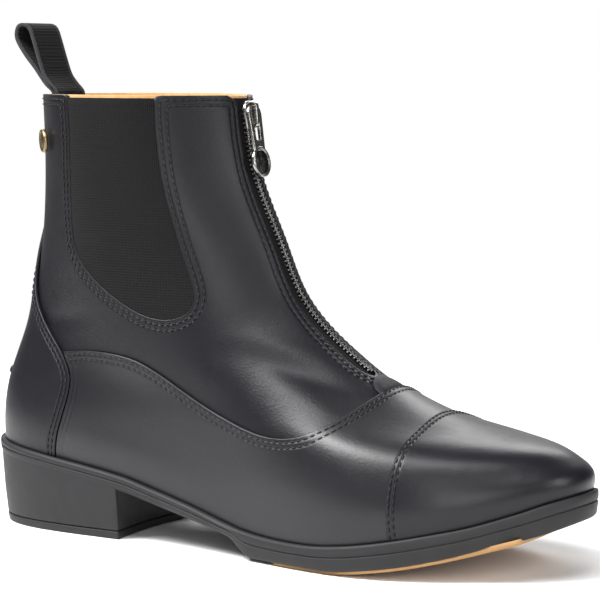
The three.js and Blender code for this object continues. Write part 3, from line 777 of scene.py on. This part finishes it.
# Main creases of the outer side, which the inner side mirrors
CREASES = (
    # turn, row, tilt in degrees, half length, half width and height in mm
    (0.375, 6.35, -24, 26, 5.5, -0.9),
    (0.385, 6.95, -18, 22, 5.0, 0.55),
    (0.355, 5.6, -34, 24, 6.5, 0.6),
    (0.13, 6.3, 12, 15, 4.5, -0.5),
)
CREASE_DEPTH = 30


def creases(points, places):
    """Soft troughs and ridges across the ankle and the ball."""
    total = np.zeros(len(points))
    mirrored = [(1 - turn, row, -tilt, *rest) for turn, row, tilt, *rest in CREASES]
    for turn, row, tilt, half_length, half_width, height in (*CREASES, *mirrored):
        middle, out = (v[0] for v in face(np.array([row]), np.array([turn])))
        level = unit(np.cross([0, 0, 1.0], out))
        angle = math.radians(tilt)
        run = math.cos(angle) * level + math.sin(angle) * np.cross(out, level)
        off = points - middle
        hump = soft_hump(off @ run, half_length) * soft_hump(off @ np.cross(out, run), half_width)
        total += height * hump * (off @ out > -CREASE_DEPTH)
    return total


panel(
    "shaft", shaft_kept, 0.0, -LEATHER, np.linspace(3.4, TOP_ROW, 96), ROUND, shaft_leather,
    relief=creases, replaces=["upper"], slot="leather",
)
panel(
    "lining", below_collar, -LEATHER - 0.05, -LINING - 0.2, np.linspace(0, TOP_ROW, 60),
    np.linspace(0, 1, 141), lining_suede, roundness=0.12, slot="insole_leather",
)
panel(
    "vamp_panel", vamp_region, VAMP_OUT, GAP, np.linspace(0, 7.6, 84), FRONT, vamp_leather,
    replaces=["vamp"], slot="leather",
)
panel(
    "counter_panel", counter_region, COUNTER_OUT, GAP, np.linspace(0, TOP_ROW, 110), BACK, counter_leather,
    replaces=["counter"], slot="leather",
)
panel(
    "toe_cap_panel", beyond_cap_seam, CAP_OUT, VAMP_OUT + 0.02, np.linspace(0, 6.4, 76),
    np.linspace(0.2, 0.8, 261), cap_leather, replaces=["toe_cap"], slot="toe_leather",
)


# Elastic with ribs that run level
RIB_PITCH = 1.15
RIB_HEIGHT = 0.13
ELASTIC_BAND = 2.6
ELASTIC_TUCK = 1.0


def elastic_region(points):
    return np.minimum(in_gusset(points) + ELASTIC_TUCK, below_collar(points, ELASTIC_DROP))


def ribs(points, places):
    """Level ribs, with a plain band along the top."""
    ribbed = np.clip((below_collar(points, ELASTIC_DROP) - ELASTIC_BAND) / 0.5, 0, 1)
    return RIB_HEIGHT * (ribbed * np.cos(math.tau * points[:, 2] / RIB_PITCH) + 1 - ribbed)


for side, low_turn in (("outer", 0.1), ("inner", 0.55)):
    panel(
        f"elastic_{side}", elastic_region, -ELASTIC_DEPTH, -ELASTIC_DEPTH - ELASTIC_THICKNESS,
        np.linspace(5.8, TOP_ROW, 330), np.linspace(low_turn, low_turn + 0.35, 60), elastic_cloth,
        relief=ribs, roundness=0.15, replaces=[f"gusset_{side}"], slot="elastic",
    )


# Zip
def tape_region(points):
    inside = in_slot(points, ZIP_SLOT / 2 + 0.6, ZIP_FOOT - 3, 0)
    return np.minimum(inside, below_collar(points, ELASTIC_DROP))


panel(
    "zip_tape_cloth", tape_region, -TAPE_DEPTH, -TAPE_DEPTH - TAPE_THICKNESS,
    np.linspace(4.2, TOP_ROW, 90), np.linspace(0.44, 0.56, 41), tape_cloth,
    roundness=0.12, replaces=["zip_tape"], slot="elastic",
)

TAB_RISE = 8.5
TAB_HALF = 9.5
TAB_TUCK = 2.0
TAB_PUFF = 1.1


def tab_region(points):
    """A rounded patch over the zip's foot, tucked under the vamp's edge."""
    above = -under_vamp_seam(points)
    oval = TAB_RISE * (1 - np.hypot(points[:, 1] / TAB_HALF, np.maximum(above, 0) / TAB_RISE))
    return np.where(points[:, 0] > SOLE_LENGTH / 2, np.minimum(oval, above + TAB_TUCK), -FAR_AWAY)


def puffed(points, places):
    return TAB_PUFF * np.clip(tab_region(points) / 2.5, 0, 1) ** 0.5


panel(
    "zip_foot_tab", tab_region, 0.7, -0.3, np.linspace(4.6, 7, 90), np.linspace(0.4, 0.6, 90), trim_leather,
    relief=puffed, roundness=0.3, slot="leather",
)

TOOTH_PITCH = 2.0
TOOTH_SUNK = 0.1
TOOTH_BEVEL = 0.00008  # metres
CHAIN_START = 0.8  # slot's foot to the first tooth
TOOTH_SIZES = (
    # across, half thickness, top, foot
    (-0.6, 0.26, 0.2, -0.2),
    (-0.35, 0.44, 0.6, -0.5),
    (0.3, 0.47, 0.85, -0.6),
    (0.75, 0.34, 0.55, -0.6),
    (1.8, 0.38, 0.45, -0.6),
    (2.2, 0.3, 0.1, -0.6),
)


def tooth_shape(side):
    """One tooth along the chain, across it and out of it."""
    points = [
        (a * half, side * across, out)
        for across, half, top, foot in TOOTH_SIZES
        for a, out in ((-1, foot), (1, foot), (1, top * 0.6), (0.55, top), (-0.55, top), (-1, top * 0.6))
    ]
    return np.array(points), tube(len(TOOTH_SIZES), 6, flipped=side < 0)


def row_at(height, turn):
    """The row where the face reaches a height at a turn."""
    rows = np.linspace(0, TOP_ROW, 600)
    return float(np.interp(height, last(rows, turn)[:, 2], rows))


def zip_chain():
    low = row_at(ZIP_FOOT + CHAIN_START, 0.5)
    high = row_at(COLLAR - SLIDER_DROP + SLIDER_LENGTH / 3, 0.5)
    rows = np.linspace(low, high, 200)
    line = np.stack([rows, np.full_like(rows, 0.5)], -1)
    halves = []
    for side in (-1, 1):
        places = along_line(line, TOOTH_PITCH)
        if side > 0:
            places = (places[1:] + places[:-1]) / 2
        base, out = face(*places.T)
        run = unit(np.gradient(base, axis=0))
        across = unit(np.cross(out, run))
        halves.append(scattered(tooth_shape(side), base - TOOTH_SUNK * out, run, across, out))
    piece = make(
        "zip_teeth", *together(*halves), zip_metal, replaces=["zip_chain"], slot="zip_metal", smooth=False
    )
    piece.modifiers.new("edges", "BEVEL").width = TOOTH_BEVEL


zip_chain()


def place_at(height, turn):
    """A matrix on the face: X out of it, Y across, Z up along it."""
    base, out = (v[0] for v in face(np.array([row_at(height, turn)]), np.array([turn])))
    across = unit(np.cross([0, 0, 1.0], out))
    made = Matrix([*np.stack([out, across, np.cross(out, across)], 1).tolist()]).to_4x4()
    made.translation = Vector(base)
    return made


def prism(outline, low, high):
    """An outline in (across, up) pushed out of the face from low to high."""
    points = [(x, y, z) for x in (low, high) for y, z in outline]
    return np.array(points), tube(2, len(outline))


def lathe(profile, steps=48):
    """A profile of (radius, out) turned about the axis out of the face, closed on the axis."""
    angles = [math.tau * k / steps for k in range(steps)]
    points = [(out, radius * math.cos(a), radius * math.sin(a)) for radius, out in profile for a in angles]
    return np.array(points), tube(len(profile), steps)


def moved(shape, matrix):
    points, faces = shape
    turn = np.array(matrix.to_3x3())
    return points @ turn.T + np.array(matrix.translation), faces


def bevelled(piece, width, segments=3):
    bevel = piece.modifiers.new("edges", "BEVEL")
    bevel.width = width / 1000
    bevel.segments = segments
    bevel.limit_method = "ANGLE"
    bevel.angle_limit = math.radians(35)
    return piece


def arc(centre_y, centre_z, radius, start, end, count):
    angles = np.radians(np.linspace(start, end, count))
    return [(centre_y + radius * math.cos(a), centre_z + radius * math.sin(a)) for a in angles]


slider_place = place_at(COLLAR - SLIDER_DROP, 0.5)
PLATE_IN = CHAIN_PROUD + 1.4 * GAP
PLATE_OUT = PLATE_IN + SLIDER_PLATE


def zip_slider():
    half = SLIDER_LENGTH / 2
    crown = SLIDER_TOP / 2
    outline = [
        (-SLIDER_FOOT / 2, -half), (SLIDER_FOOT / 2, -half), (SLIDER_FOOT / 2 + 0.5, -half / 3),
        *arc(0, half - crown, crown, -10, 190, 17), (-SLIDER_FOOT / 2 - 0.5, -half / 3),
    ]
    reach = BRIDGE_LENGTH / 2
    crest = PLATE_OUT + BRIDGE_RISE
    rising = [
        (PLATE_OUT - 0.4, 0.4 - reach), (PLATE_OUT + BRIDGE_RISE * 0.55, 0.5 - reach),
        (crest - BRIDGE_BAR * 0.55, 1.9 - reach),
    ]
    falling = [(out, -up) for out, up in reversed(rising)]
    bridge = bar_along([*rising, (crest - BRIDGE_BAR / 2, 0), *falling], BRIDGE_WIDTH, BRIDGE_BAR)
    shape = moved(together(prism(outline, PLATE_IN, PLATE_OUT), bridge), slider_place)
    piece = make("zip_slider_body", *shape, pull_metal, replaces=["zip_slider"], slot="zip_metal")
    bevelled(piece, 0.35)


# Section of a bar: shares of its width and thickness
BAR_SECTION = (
    (0.5, 0.28), (0.38, 0.5), (-0.38, 0.5), (-0.5, 0.28),
    (-0.5, -0.28), (-0.38, -0.5), (0.38, -0.5), (0.5, -0.28),
)


def bar_along(line, width, thickness, samples=24):
    """A bar with a rounded rectangular section along a line of (out, up)."""
    path = smooth_line(line, samples)
    run = unit(np.gradient(path, axis=0))
    points = [
        (out + up_run * v * thickness, u * width, up - out_run * v * thickness)
        for (out, up), (out_run, up_run) in zip(path, run)
        for u, v in BAR_SECTION
    ]
    return np.array(points), tube(len(path), len(BAR_SECTION))


zip_slider()

# Pull: a slotted bar with a round disc that hangs from the slider's bridge
pin_out = PLATE_OUT + GAP + PULL_THICKNESS / 2
pin_up = BRIDGE_LENGTH / 2 - PIN_DROP
disc_down = PULL_REACH - PULL_ARM / 2 - DISC / 2
pin_place = (
    slider_place
    @ Matrix.Translation((pin_out, 0, pin_up))
    @ Matrix.Rotation(math.radians(-PULL_LEAN), 4, "Y")
)


def frame_prism(outer, inner, low, high):
    """A prism with a window: two outlines with the same number of corners."""
    n = len(outer)
    points = [(x, y, z) for x in (low, high) for y, z in (*outer, *inner)]
    faces = []
    for k in range(n):
        j = (k + 1) % n
        o0, o1, i0, i1 = k, j, n + k, n + j
        top = 2 * n
        faces += [
            (o0, o1, top + o1, top + o0), (i1, i0, top + i0, top + i1),
            (o1, o0, i0, i1), (top + o0, top + o1, top + i1, top + i0),
        ]
    return np.array(points), faces


def pull_piece(name, shape, place, material, **rest):
    return make(name, *moved(shape, place), material, body=PULL, slot="zip_metal", **rest)


def zip_pull():
    half = PULL_THICKNESS / 2
    reach = disc_down - DISC / 2 + 2
    outer = [
        (PULL_TOP / 2, -3), (PULL_TOP / 2 - 0.5, -1), (PULL_TOP / 2 - 2.2, PULL_ARM / 2),
        (2.2 - PULL_TOP / 2, PULL_ARM / 2), (0.5 - PULL_TOP / 2, -1), (-PULL_TOP / 2, -3),
        (-PULL_FOOT / 2, -reach), (PULL_FOOT / 2, -reach),
    ]
    inner = [
        (2.4, -3), (2.3, -1.6), (1.5, -PULL_ARM / 2), (-1.5, -PULL_ARM / 2), (-2.3, -1.6), (-2.4, -3),
        (-1.8, -PULL_WINDOW), (1.8, -PULL_WINDOW),
    ]
    bar = frame_prism(outer, inner, -half, half)
    bevelled(pull_piece("zip_pull_bar", bar, pin_place, pull_metal, replaces=["zip_pull"]), 0.4)
    down = pin_place @ Matrix.Translation((0, 0, -disc_down))
    rim = DISC / 2
    front = DISC_THICKNESS / 2
    disc = lathe([
        (0.01, -front), (rim - 0.6, -front), (rim, -front + 0.5), (rim, front - 0.5),
        (rim - 0.5, front), (rim - 1.1, front), (rim - 1.5, front - 0.55), (0.01, front - 0.55),
    ])
    pull_piece("zip_pull_disc", disc, down, pull_metal)
    bed = front - 0.5
    inlay = lathe([(0.01, bed - 0.3), (rim - 1.6, bed - 0.3), (rim - 1.6, bed), (0.01, bed)])
    pull_piece("zip_pull_inlay", inlay, down, enamel)
    rays = []
    for k in range(4):
        long = rim - (2.4 if k % 2 == 0 else 3.6)
        ray = prism([(0, long), (-0.45, 0), (0, -long), (0.45, 0)], bed - 0.1, bed + 0.3)
        rays.append(moved(ray, Matrix.Rotation(math.radians(45 * k), 4, "X")))
    pull_piece("zip_pull_rays", together(*rays), down, pull_metal, smooth=False)


zip_pull()


# Stud: a dome with rings, on the outer side
def stud():
    r = STUD / 2
    low, high = COUNTER_OUT - 0.6, COUNTER_OUT + STUD_THICKNESS - GAP
    profile = [
        (0.01, low), (r * 0.94, low), (r, low + 0.5), (r * 0.97, high - 0.9), (r * 0.9, high - 0.45),
        (r * 0.78, high - 0.35), (r * 0.72, high - 0.75), (r * 0.62, high - 0.8), (r * 0.54, high - 0.5),
        (r * 0.3, high - 0.25), (0.01, high - 0.15),
    ]
    place = place_at(COLLAR - STUD_DROP, STUD_TURN)
    make("stud_head", *moved(lathe(profile), place), stud_metal, replaces=["stud"], slot="stud_metal")


stud()


# Spur rest: a small ledge at the back. Its section is in shares of how proud it is and of half its thickness
SPUR_SECTION = ((0, -1.0), (0.9, -0.8), (1, -0.2), (1, 0.6), (0.8, 1.0), (0, 1.1))
SPUR_STEPS = 21


def spur_rest():
    low = COUNTER_OUT - 0.2
    half_turn = math.asin(SPUR_WIDTH / 2 / -last(row_at(SPUR_HEIGHT, 0), 0.25)[1]) / math.tau
    points = []
    for turn in np.linspace(-half_turn, half_turn, SPUR_STEPS):
        ease = math.sqrt(max(0.0, 1 - (turn / half_turn) ** 4))
        for proud, up in SPUR_SECTION:
            row = row_at(SPUR_HEIGHT + up * SPUR_THICKNESS / 2, turn)
            base, out = (v[0] for v in face(np.array([row]), np.array([turn])))
            points.append(base + out * (low + SPUR_PROUD * proud * ease))
    faces = tube(SPUR_STEPS, len(SPUR_SECTION))
    make("spur_ledge", np.array(points), faces, trim_leather, replaces=["spur_rest"], slot="leather")


spur_rest()

# Pull loop: percent of its lean, rise, tail and thickness, and of the wall's own curve
LOOP_ROWS = (
    (0, 0, 100, 125, 100), (0, 0, 50, 110, 100), (0, 0, 12, 108, 100), (0, 4, 0, 80, 100), (10, 13, 0, 0, 80),
    (23, 22, 0, 0, 60), (42, 37, 0, 0, 35), (70, 56, 0, 0, 10), (93, 75, 0, 0, 0), (99, 87, 0, 0, 0),
    (92, 98, 0, 0, 0), (74, 100, 0, 0, 0), (57, 94, 0, 0, 0), (44, 75, 0, 0, 0), (30, 50, 0, 0, 10),
    (17, 28, 0, 0, 40), (3, 15, 0, 30, 60), (0, 4, 0, 200, 80), (0, 0, 12, 220, 100), (0, 0, 50, 235, 100),
    (0, 0, 100, 250, 100),
)
WEB_PITCH = 1.3


def wall_inside(turn):
    base, out = face(np.full_like(turn, TOP_ROW), turn)
    return (base - out * LINING)[..., 0]


def loop_band(name, across, thickness, material, samples=150, rib=0.0, **rest):
    """The band of the loop between two distances across it."""
    rows = np.array(LOOP_ROWS, float)
    line = np.stack(
        [
            (rows[:, 0] * LOOP_LEAN - rows[:, 3] * LOOP_THICKNESS) / 100,
            (rows[:, 1] * LOOP_RISE - rows[:, 2] * LOOP_TAIL) / 100,
        ],
        -1,
    )
    path = smooth_line(line, samples)
    hug = through([(i, row[4] / 100) for i, row in enumerate(LOOP_ROWS)])(
        np.linspace(0, len(LOOP_ROWS) - 1, len(path))
    )
    run = unit(np.gradient(path, axis=0))
    back_half = ring_sizes[TOP_ROW, 6]
    turns = np.arcsin(np.clip(np.abs(across) / back_half, 0, 1)) / math.tau
    bulge = wall_inside(turns) - wall_inside(np.zeros(1))
    inner = wall_inside(np.zeros(1))[0]
    reach = np.concatenate([[0], np.cumsum(np.linalg.norm(np.diff(path, axis=0), axis=1))])
    wave = rib * np.cos(math.tau * reach / WEB_PITCH)
    points = []
    for p, along, share, ripple in zip(path, run, hug, wave):
        for side, order in ((1, range(len(across))), (-1, reversed(range(len(across))))):
            for k in order:
                half = thickness / 2 + ripple
                x = inner - p[0] + bulge[k] * share + side * along[1] * half
                points.append((x, across[k], COLLAR + p[1] + side * along[0] * half))
    return make(name, np.array(points), tube(len(path), 2 * len(across)), material, **rest)


half_loop = LOOP_WIDTH / 2
loop_band(
    "loop_web", np.linspace(-half_loop + 0.9, half_loop - 0.9, 15), LOOP_THICKNESS, webbing_cloth,
    samples=420, rib=0.06, replaces=["pull_loop"], slot="webbing",
)
for side, name in ((-1, "outer"), (1, "inner")):
    across = np.linspace(*sorted((side * half_loop, side * (half_loop - 1.0))), 4)
    loop_band(f"loop_edge_{name}", across, LOOP_THICKNESS + 0.1, binding_cloth, slot="webbing")


# Sole
SOLE_STEPS = 260
sole_turns = np.arange(SOLE_STEPS) / SOLE_STEPS
foot_ring = last(np.zeros(SOLE_STEPS), sole_turns)
foot_run = np.roll(foot_ring, -1, 0) - np.roll(foot_ring, 1, 0)
foot_run[:, 2] = 0
foot_out = unit(np.stack([foot_run[:, 1], -foot_run[:, 0], 0 * foot_run[:, 0]], -1))


def outline(inset, height):
    """The sole's outline drawn in by an inset, at a height for each x."""
    ring = foot_ring + foot_out * (LIP - inset)
    ring[:, 2] = height(ring[:, 0])
    return ring


def stack(rings, across=14):
    """Rings from bottom to top, closed by lids of level strips."""
    n = len(rings[0])
    points = list(np.vstack(rings))
    faces = sides(len(rings), n)
    for base, upwards in ((0, False), ((len(rings) - 1) * n, True)):
        strips = [[base]]
        for i in range(1, n // 2):
            a, b = np.array(points[base + i]), np.array(points[base + n - i])
            line = [base + i]
            for k in range(1, across):
                line.append(len(points))
                points.append(a + (b - a) * k / across)
            line.append(base + n - i)
            strips.append(line)
        strips.append([base + n // 2])
        for here, there in zip(strips, strips[1:]):
            for k in range(across):
                quad = [here[min(k, len(here) - 1)], there[min(k, len(there) - 1)],
                        there[min(k + 1, len(there) - 1)], here[min(k + 1, len(here) - 1)]]
                quad = [v for j, v in enumerate(quad) if v != quad[j - 1]]
                faces.append(tuple(quad if upwards else reversed(quad)))
    return np.array(points), faces


def flat(height):
    return lambda x: 0 * x + height


def between(share, added=0.0):
    """A height at a share of the way from the slab's underside to its top, with mm added."""
    return lambda x: sole_under(x) + share * (sole_top(x) - sole_under(x)) + added


SIDE_LINE = 0.58
SLAB_ROWS = (
    # inset in mm, share of the thickness, mm added
    (3.4, 0, 0), (2.2, 0, 0.1), (1.2, 0, 0.6), (0.7, 0, 1.3), (0.2, SIDE_LINE, -0.7),
    (0.25, SIDE_LINE, -0.35), (0.75, SIDE_LINE, -0.1), (0.75, SIDE_LINE, 0.1), (0.15, SIDE_LINE, 0.4),
    (0.1, (1 + SIDE_LINE) / 2, 0), (0.15, 1, -1.1), (0.4, 1, -0.45), (0.8, 1, -0.12), (1.4, 1, 0),
    (2.6, 1, -0.1),
)
slab = stack([outline(inset, between(share, added)) for inset, share, added in SLAB_ROWS])
make("sole_slab", *slab, sole_rubber, replaces=["outsole"], slot="sole_rubber")


def breast_at(y):
    share = y / BALL_WIDTH
    return BREAST_AT - BREAST_HOLLOW * np.maximum(0, 1 - (share * 2) ** 2)


def heel_ring(share, height, extra=0.0):
    """The heel's outline at a share of its taper."""
    ring = outline(SIDE_TAPER * share + extra, height)
    ring[:, 0] += (HEEL_TAPER - SIDE_TAPER) * share * np.maximum(0, 1 - ring[:, 0] / BREAST_AT)
    return ring


SIDE_STEPS = 90
BREAST_STEPS = 25


def heel_block(name, levels, **rest):
    """Levels of (taper share, height, extra inset), closed by the curved front face."""
    half = SOLE_STEPS // 2
    sections = []
    for share, height, extra in levels:
        ring = heel_ring(share, height, extra)
        ends = []
        for side in (ring[: half + 1], ring[half:][::-1]):
            past = side[:, 0] - breast_at(side[:, 1]) + extra
            k = int(np.argmax(past > 0))
            ends.append(k - 1 + past[k - 1] / (past[k - 1] - past[k]))
        closed = np.vstack([ring, ring[:1]])
        steps = np.concatenate([
            SOLE_STEPS - np.linspace(ends[1], 0, SIDE_STEPS)[:-1], np.linspace(0, ends[0], SIDE_STEPS),
        ])
        loop = np.stack([np.interp(steps, np.arange(len(closed)), closed[:, c]) for c in range(3)], -1)
        y = np.linspace(loop[-1, 1], loop[0, 1], BREAST_STEPS + 2)[1:-1]
        front = np.stack([breast_at(y) - extra, y, height(breast_at(y))], -1)
        sections.append(np.vstack([loop, front]))
    faces = tube(len(sections), len(sections[0]))
    piece = make(name, np.vstack(sections), faces, sole_rubber, slot="sole_rubber", **rest)
    return bevelled(piece, 0.5, 2)


joint_share = 1 - TOP_PIECE / HEEL_SEAT
heel_block(
    "heel_stack",
    [
        (joint_share, flat(TOP_PIECE + 0.25), 0.45), (joint_share, flat(TOP_PIECE + 0.7), 0),
        (joint_share * 0.6, flat(HEEL_SEAT * 0.4), 0), (0.2, between(1, -5), 0), (0.12, between(1, -3), 0.3),
    ],
)
heel_block(
    "heel_top_lift",
    [
        (1, flat(0), 0.8), (1, flat(0.5), 0.1), (joint_share, flat(TOP_PIECE - 0.5), 0),
        (joint_share, flat(TOP_PIECE), 0.45),
    ],
    replaces=["heel_top_piece"],
)


# Tread insert under the forepart, with a plain tread of wavy ribs
TREAD_PITCH = 6.0
TREAD_DEPTH = 0.9
TREAD_RIM = 3.0
TREAD_BEND = 3.0
TREAD_BEND_LENGTH = 24.0
TREAD_COLUMNS = 150
TREAD_ACROSS = 26


def tread_insert():
    ring = outline(INSERT_INSET, sole_under)
    outer, inner = ring[1 : SOLE_STEPS // 2], ring[SOLE_STEPS // 2 + 1 :][::-1]
    along = np.repeat(np.linspace(0, 1, TREAD_COLUMNS), TREAD_ACROSS)
    over = np.tile(np.linspace(0, 1, TREAD_ACROSS), TREAD_COLUMNS)
    middle = INSERT_START + (INSERT_END - INSERT_START) * along
    y_out = np.interp(middle, outer[:, 0], outer[:, 1])
    y_in = np.interp(middle, inner[:, 0], inner[:, 1])
    y = y_out + (y_in - y_out) * over
    x = middle + INSERT_BOW * np.maximum(0, 1 - (2 * y / BALL_WIDTH) ** 2) * (2 * along - 1)
    edge = np.minimum(30 * np.minimum(over, 1 - over), 60 * np.minimum(along, 1 - along))
    bent = x + TREAD_BEND * np.cos(math.tau * y / TREAD_BEND_LENGTH)
    wave = np.sin(math.tau * bent / TREAD_PITCH)
    dent = TREAD_DEPTH * np.clip(0.5 - 1.6 * wave, 0, 1) * np.clip((edge - TREAD_RIM) / 1.5, 0, 1)
    bottom = np.stack([x, y, sole_under(x) - INSERT_PROUD + dent], -1)
    top = np.stack([x, y, sole_under(x) + INSERT_THICKNESS - INSERT_PROUD], -1)
    n = len(bottom)
    index = np.arange(n).reshape(TREAD_COLUMNS, TREAD_ACROSS)
    quads = np.stack([index[:-1, :-1], index[:-1, 1:], index[1:, 1:], index[1:, :-1]], -1).reshape(-1, 4)
    faces = [tuple(q) for q in quads.tolist()] + [tuple(v + n for v in reversed(q)) for q in quads.tolist()]
    rim = [int(v) for v in (*index[0], *index[1:, -1], *index[-1, -2::-1], *index[-2:0:-1, 0])]
    faces += [(rim[k], rim[k - 1], rim[k - 1] + n, rim[k] + n) for k in range(len(rim))]
    points = np.vstack([bottom, top])
    make("tread", points, faces, tread_rubber, replaces=["tread_insert"], slot="tread_rubber")


tread_insert()

BED_INSET = LIP + LINING + 2 * GAP
insole_top = stack([
    outline(BED_INSET, between(1, GAP)),
    outline(BED_INSET, between(1, GAP + INSOLE - 0.4)),
    outline(BED_INSET + 0.4, between(1, GAP + INSOLE)),
])
make("insole_board", *insole_top, lining_suede, replaces=["insole"], slot="insole_leather")

# Stitches
SEAM_ROWS = np.linspace(0, TOP_ROW, 130)
stitches(
    "shaft_stitches", shaft_region, GUSSET_ROWS, 0.0, SEAM_ROWS, np.linspace(-0.02, 0.98, 301), thread,
    keep=lambda p: np.minimum(-under_vamp_seam(p), -behind_counter_seam(p)) - 0.8,
)
stitches(
    "vamp_stitches", under_vamp_seam, VAMP_ROWS, VAMP_OUT, np.linspace(0, 7.6, 110), FRONT, thread,
    keep=lambda p: -behind_counter_seam(p) - 1.2,
)
stitches(
    "counter_stitches", behind_counter_seam, COUNTER_ROWS, COUNTER_OUT, SEAM_ROWS, BACK, thread,
    keep=lambda p: np.minimum(below_collar(p) - 5, p[:, 2] - sole_top(p[:, 0]) - 1.5),
)
stitches(
    "collar_back_stitches", below_collar, GUSSET_ROWS, COUNTER_OUT, SEAM_ROWS, BACK, thread,
    keep=lambda p: behind_counter_seam(p) - 0.8,
)
stitches(
    "cap_stitches", beyond_cap_seam, CAP_ROWS, CAP_OUT, np.linspace(0, 6.4, 90),
    np.linspace(0.2, 0.8, 241), thread, keep=lambda p: p[:, 2] - sole_top(p[:, 0]) - 1.0,
)


# Studio
FLOOR_REACH = 6.0
FLOOR_PLAIN = 0.34
WORLD_SIDES = 0.1
WORLD_BEHIND = 0.55
WORLD_BELOW = 0.22


def studio_floor():
    """A pale floor that fades into the world's white away from the boot."""
    mesh = bpy.data.meshes.new("floor")
    r = FLOOR_REACH
    mesh.from_pydata([(-r, -r, 0), (r, -r, 0), (r, r, 0), (-r, r, 0)], [], [(0, 1, 2, 3)])
    floor = bpy.data.objects.new("floor", mesh)
    bpy.context.scene.collection.objects.link(floor)
    paint = Shader("floor_paint", Roughness=0.9, Specular_IOR_Level=0.1, Base_Color=(0.88, 0.88, 0.88, 1))
    away = paint.node("VectorMath", {"operation": "LENGTH"}, i0=paint.place()).outputs["Value"]
    solid = paint.node("MapRange", Value=away, i1=FLOOR_PLAIN, i2=FLOOR_PLAIN * 2.2, i3=1.0, i4=0.0)
    paint.link(solid.outputs["Result"], "Alpha")
    mesh.materials.append(paint.material)


def studio_world():
    """White to the camera. To the boot it is dim, with a brighter backdrop behind and a pale floor below."""
    world = bpy.data.worlds.new("studio")
    bpy.context.scene.world = world
    world.use_nodes = True
    tree = world.node_tree
    ground = tree.nodes["Background"]
    ground.inputs["Color"].default_value = (1, 1, 1, 1)
    way = add_node(tree, "TexCoord").outputs["Generated"]

    def towards(direction, low, high, strength):
        dot = add_node(tree, "VectorMath", {"operation": "DOT_PRODUCT"}, i0=way, i1=direction)
        made = add_node(
            tree, "MapRange", {"interpolation_type": "SMOOTHSTEP"},
            i0=dot.outputs["Value"], i1=low, i2=high, i3=WORLD_SIDES, i4=strength,
        )
        return made.outputs["Result"]

    def larger(a, b):
        return add_node(tree, "Math", {"operation": "MAXIMUM"}, i0=a, i1=b).outputs[0]

    a = math.radians(CAMERA_TURN)
    behind = towards((-math.sin(a), math.cos(a), 0), 0.7, 0.97, WORLD_BEHIND)
    below = towards((0, 0, -1), 0.0, 0.12, WORLD_BELOW)
    seen = add_node(tree, "LightPath").outputs["Is Camera Ray"]
    tree.links.new(larger(larger(behind, below), seen), ground.inputs["Strength"])


LAMPS = (
    # name, place in metres, size in metres, watts
    ("key", (-0.6, -0.6, 1.15), (0.7, 0.6), 38),
    ("over", (0.1, -0.6, 1.3), (0.9, 0.5), 14),
    ("back", (-0.4, 0.9, 0.85), (1.2, 0.5), 10),
    ("front", (0.75, -1.3, 0.5), (0.4, 0.9), 8),
    ("right", (1.3, -0.2, 0.6), (0.3, 0.9), 8),
)
LAMP_AIM = Vector((0, 0, 0.08))


def studio():
    scene = bpy.context.scene
    studio_floor()
    studio_world()
    for name, place, size, watts in LAMPS:
        light = bpy.data.lights.new(name, "AREA")
        light.shape = "RECTANGLE"
        light.size, light.size_y = size
        light.energy = watts
        lamp = bpy.data.objects.new(name, light)
        lamp.location = place
        lamp.rotation_euler = (LAMP_AIM - Vector(place)).to_track_quat("-Z", "Y").to_euler()
        scene.collection.objects.link(lamp)
    scene.view_settings.view_transform = "Standard"


# Camera at the photograph's angle, whose frame is 600 by 600 pixels
CAMERA_TURN = 31.0
CAMERA_TILT = 6.3
CAMERA_AWAY = 1.0
CAMERA_TARGET = (-0.01184, -0.00123, 0.095)
FOCAL_PIXELS = 2328
FRAME_PIXELS = 600
AXIS_PIXEL = (257, 322)


def camera():
    data = bpy.data.cameras.new("camera")
    eye = bpy.data.objects.new("camera", data)
    a, e = math.radians(CAMERA_TURN), math.radians(CAMERA_TILT)
    back = Vector((math.sin(a) * math.cos(e), -math.cos(a) * math.cos(e), math.sin(e)))
    eye.location = Vector(CAMERA_TARGET) + back * CAMERA_AWAY
    eye.rotation_mode = "QUATERNION"
    eye.rotation_quaternion = (-back).to_track_quat("-Z", "Y")
    data.sensor_width = 36
    data.lens = FOCAL_PIXELS * data.sensor_width / FRAME_PIXELS
    data.shift_x = (FRAME_PIXELS / 2 - AXIS_PIXEL[0]) / FRAME_PIXELS
    data.shift_y = (AXIS_PIXEL[1] - FRAME_PIXELS / 2) / FRAME_PIXELS
    bpy.context.scene.collection.objects.link(eye)
    bpy.context.scene.camera = eye


studio()
camera()
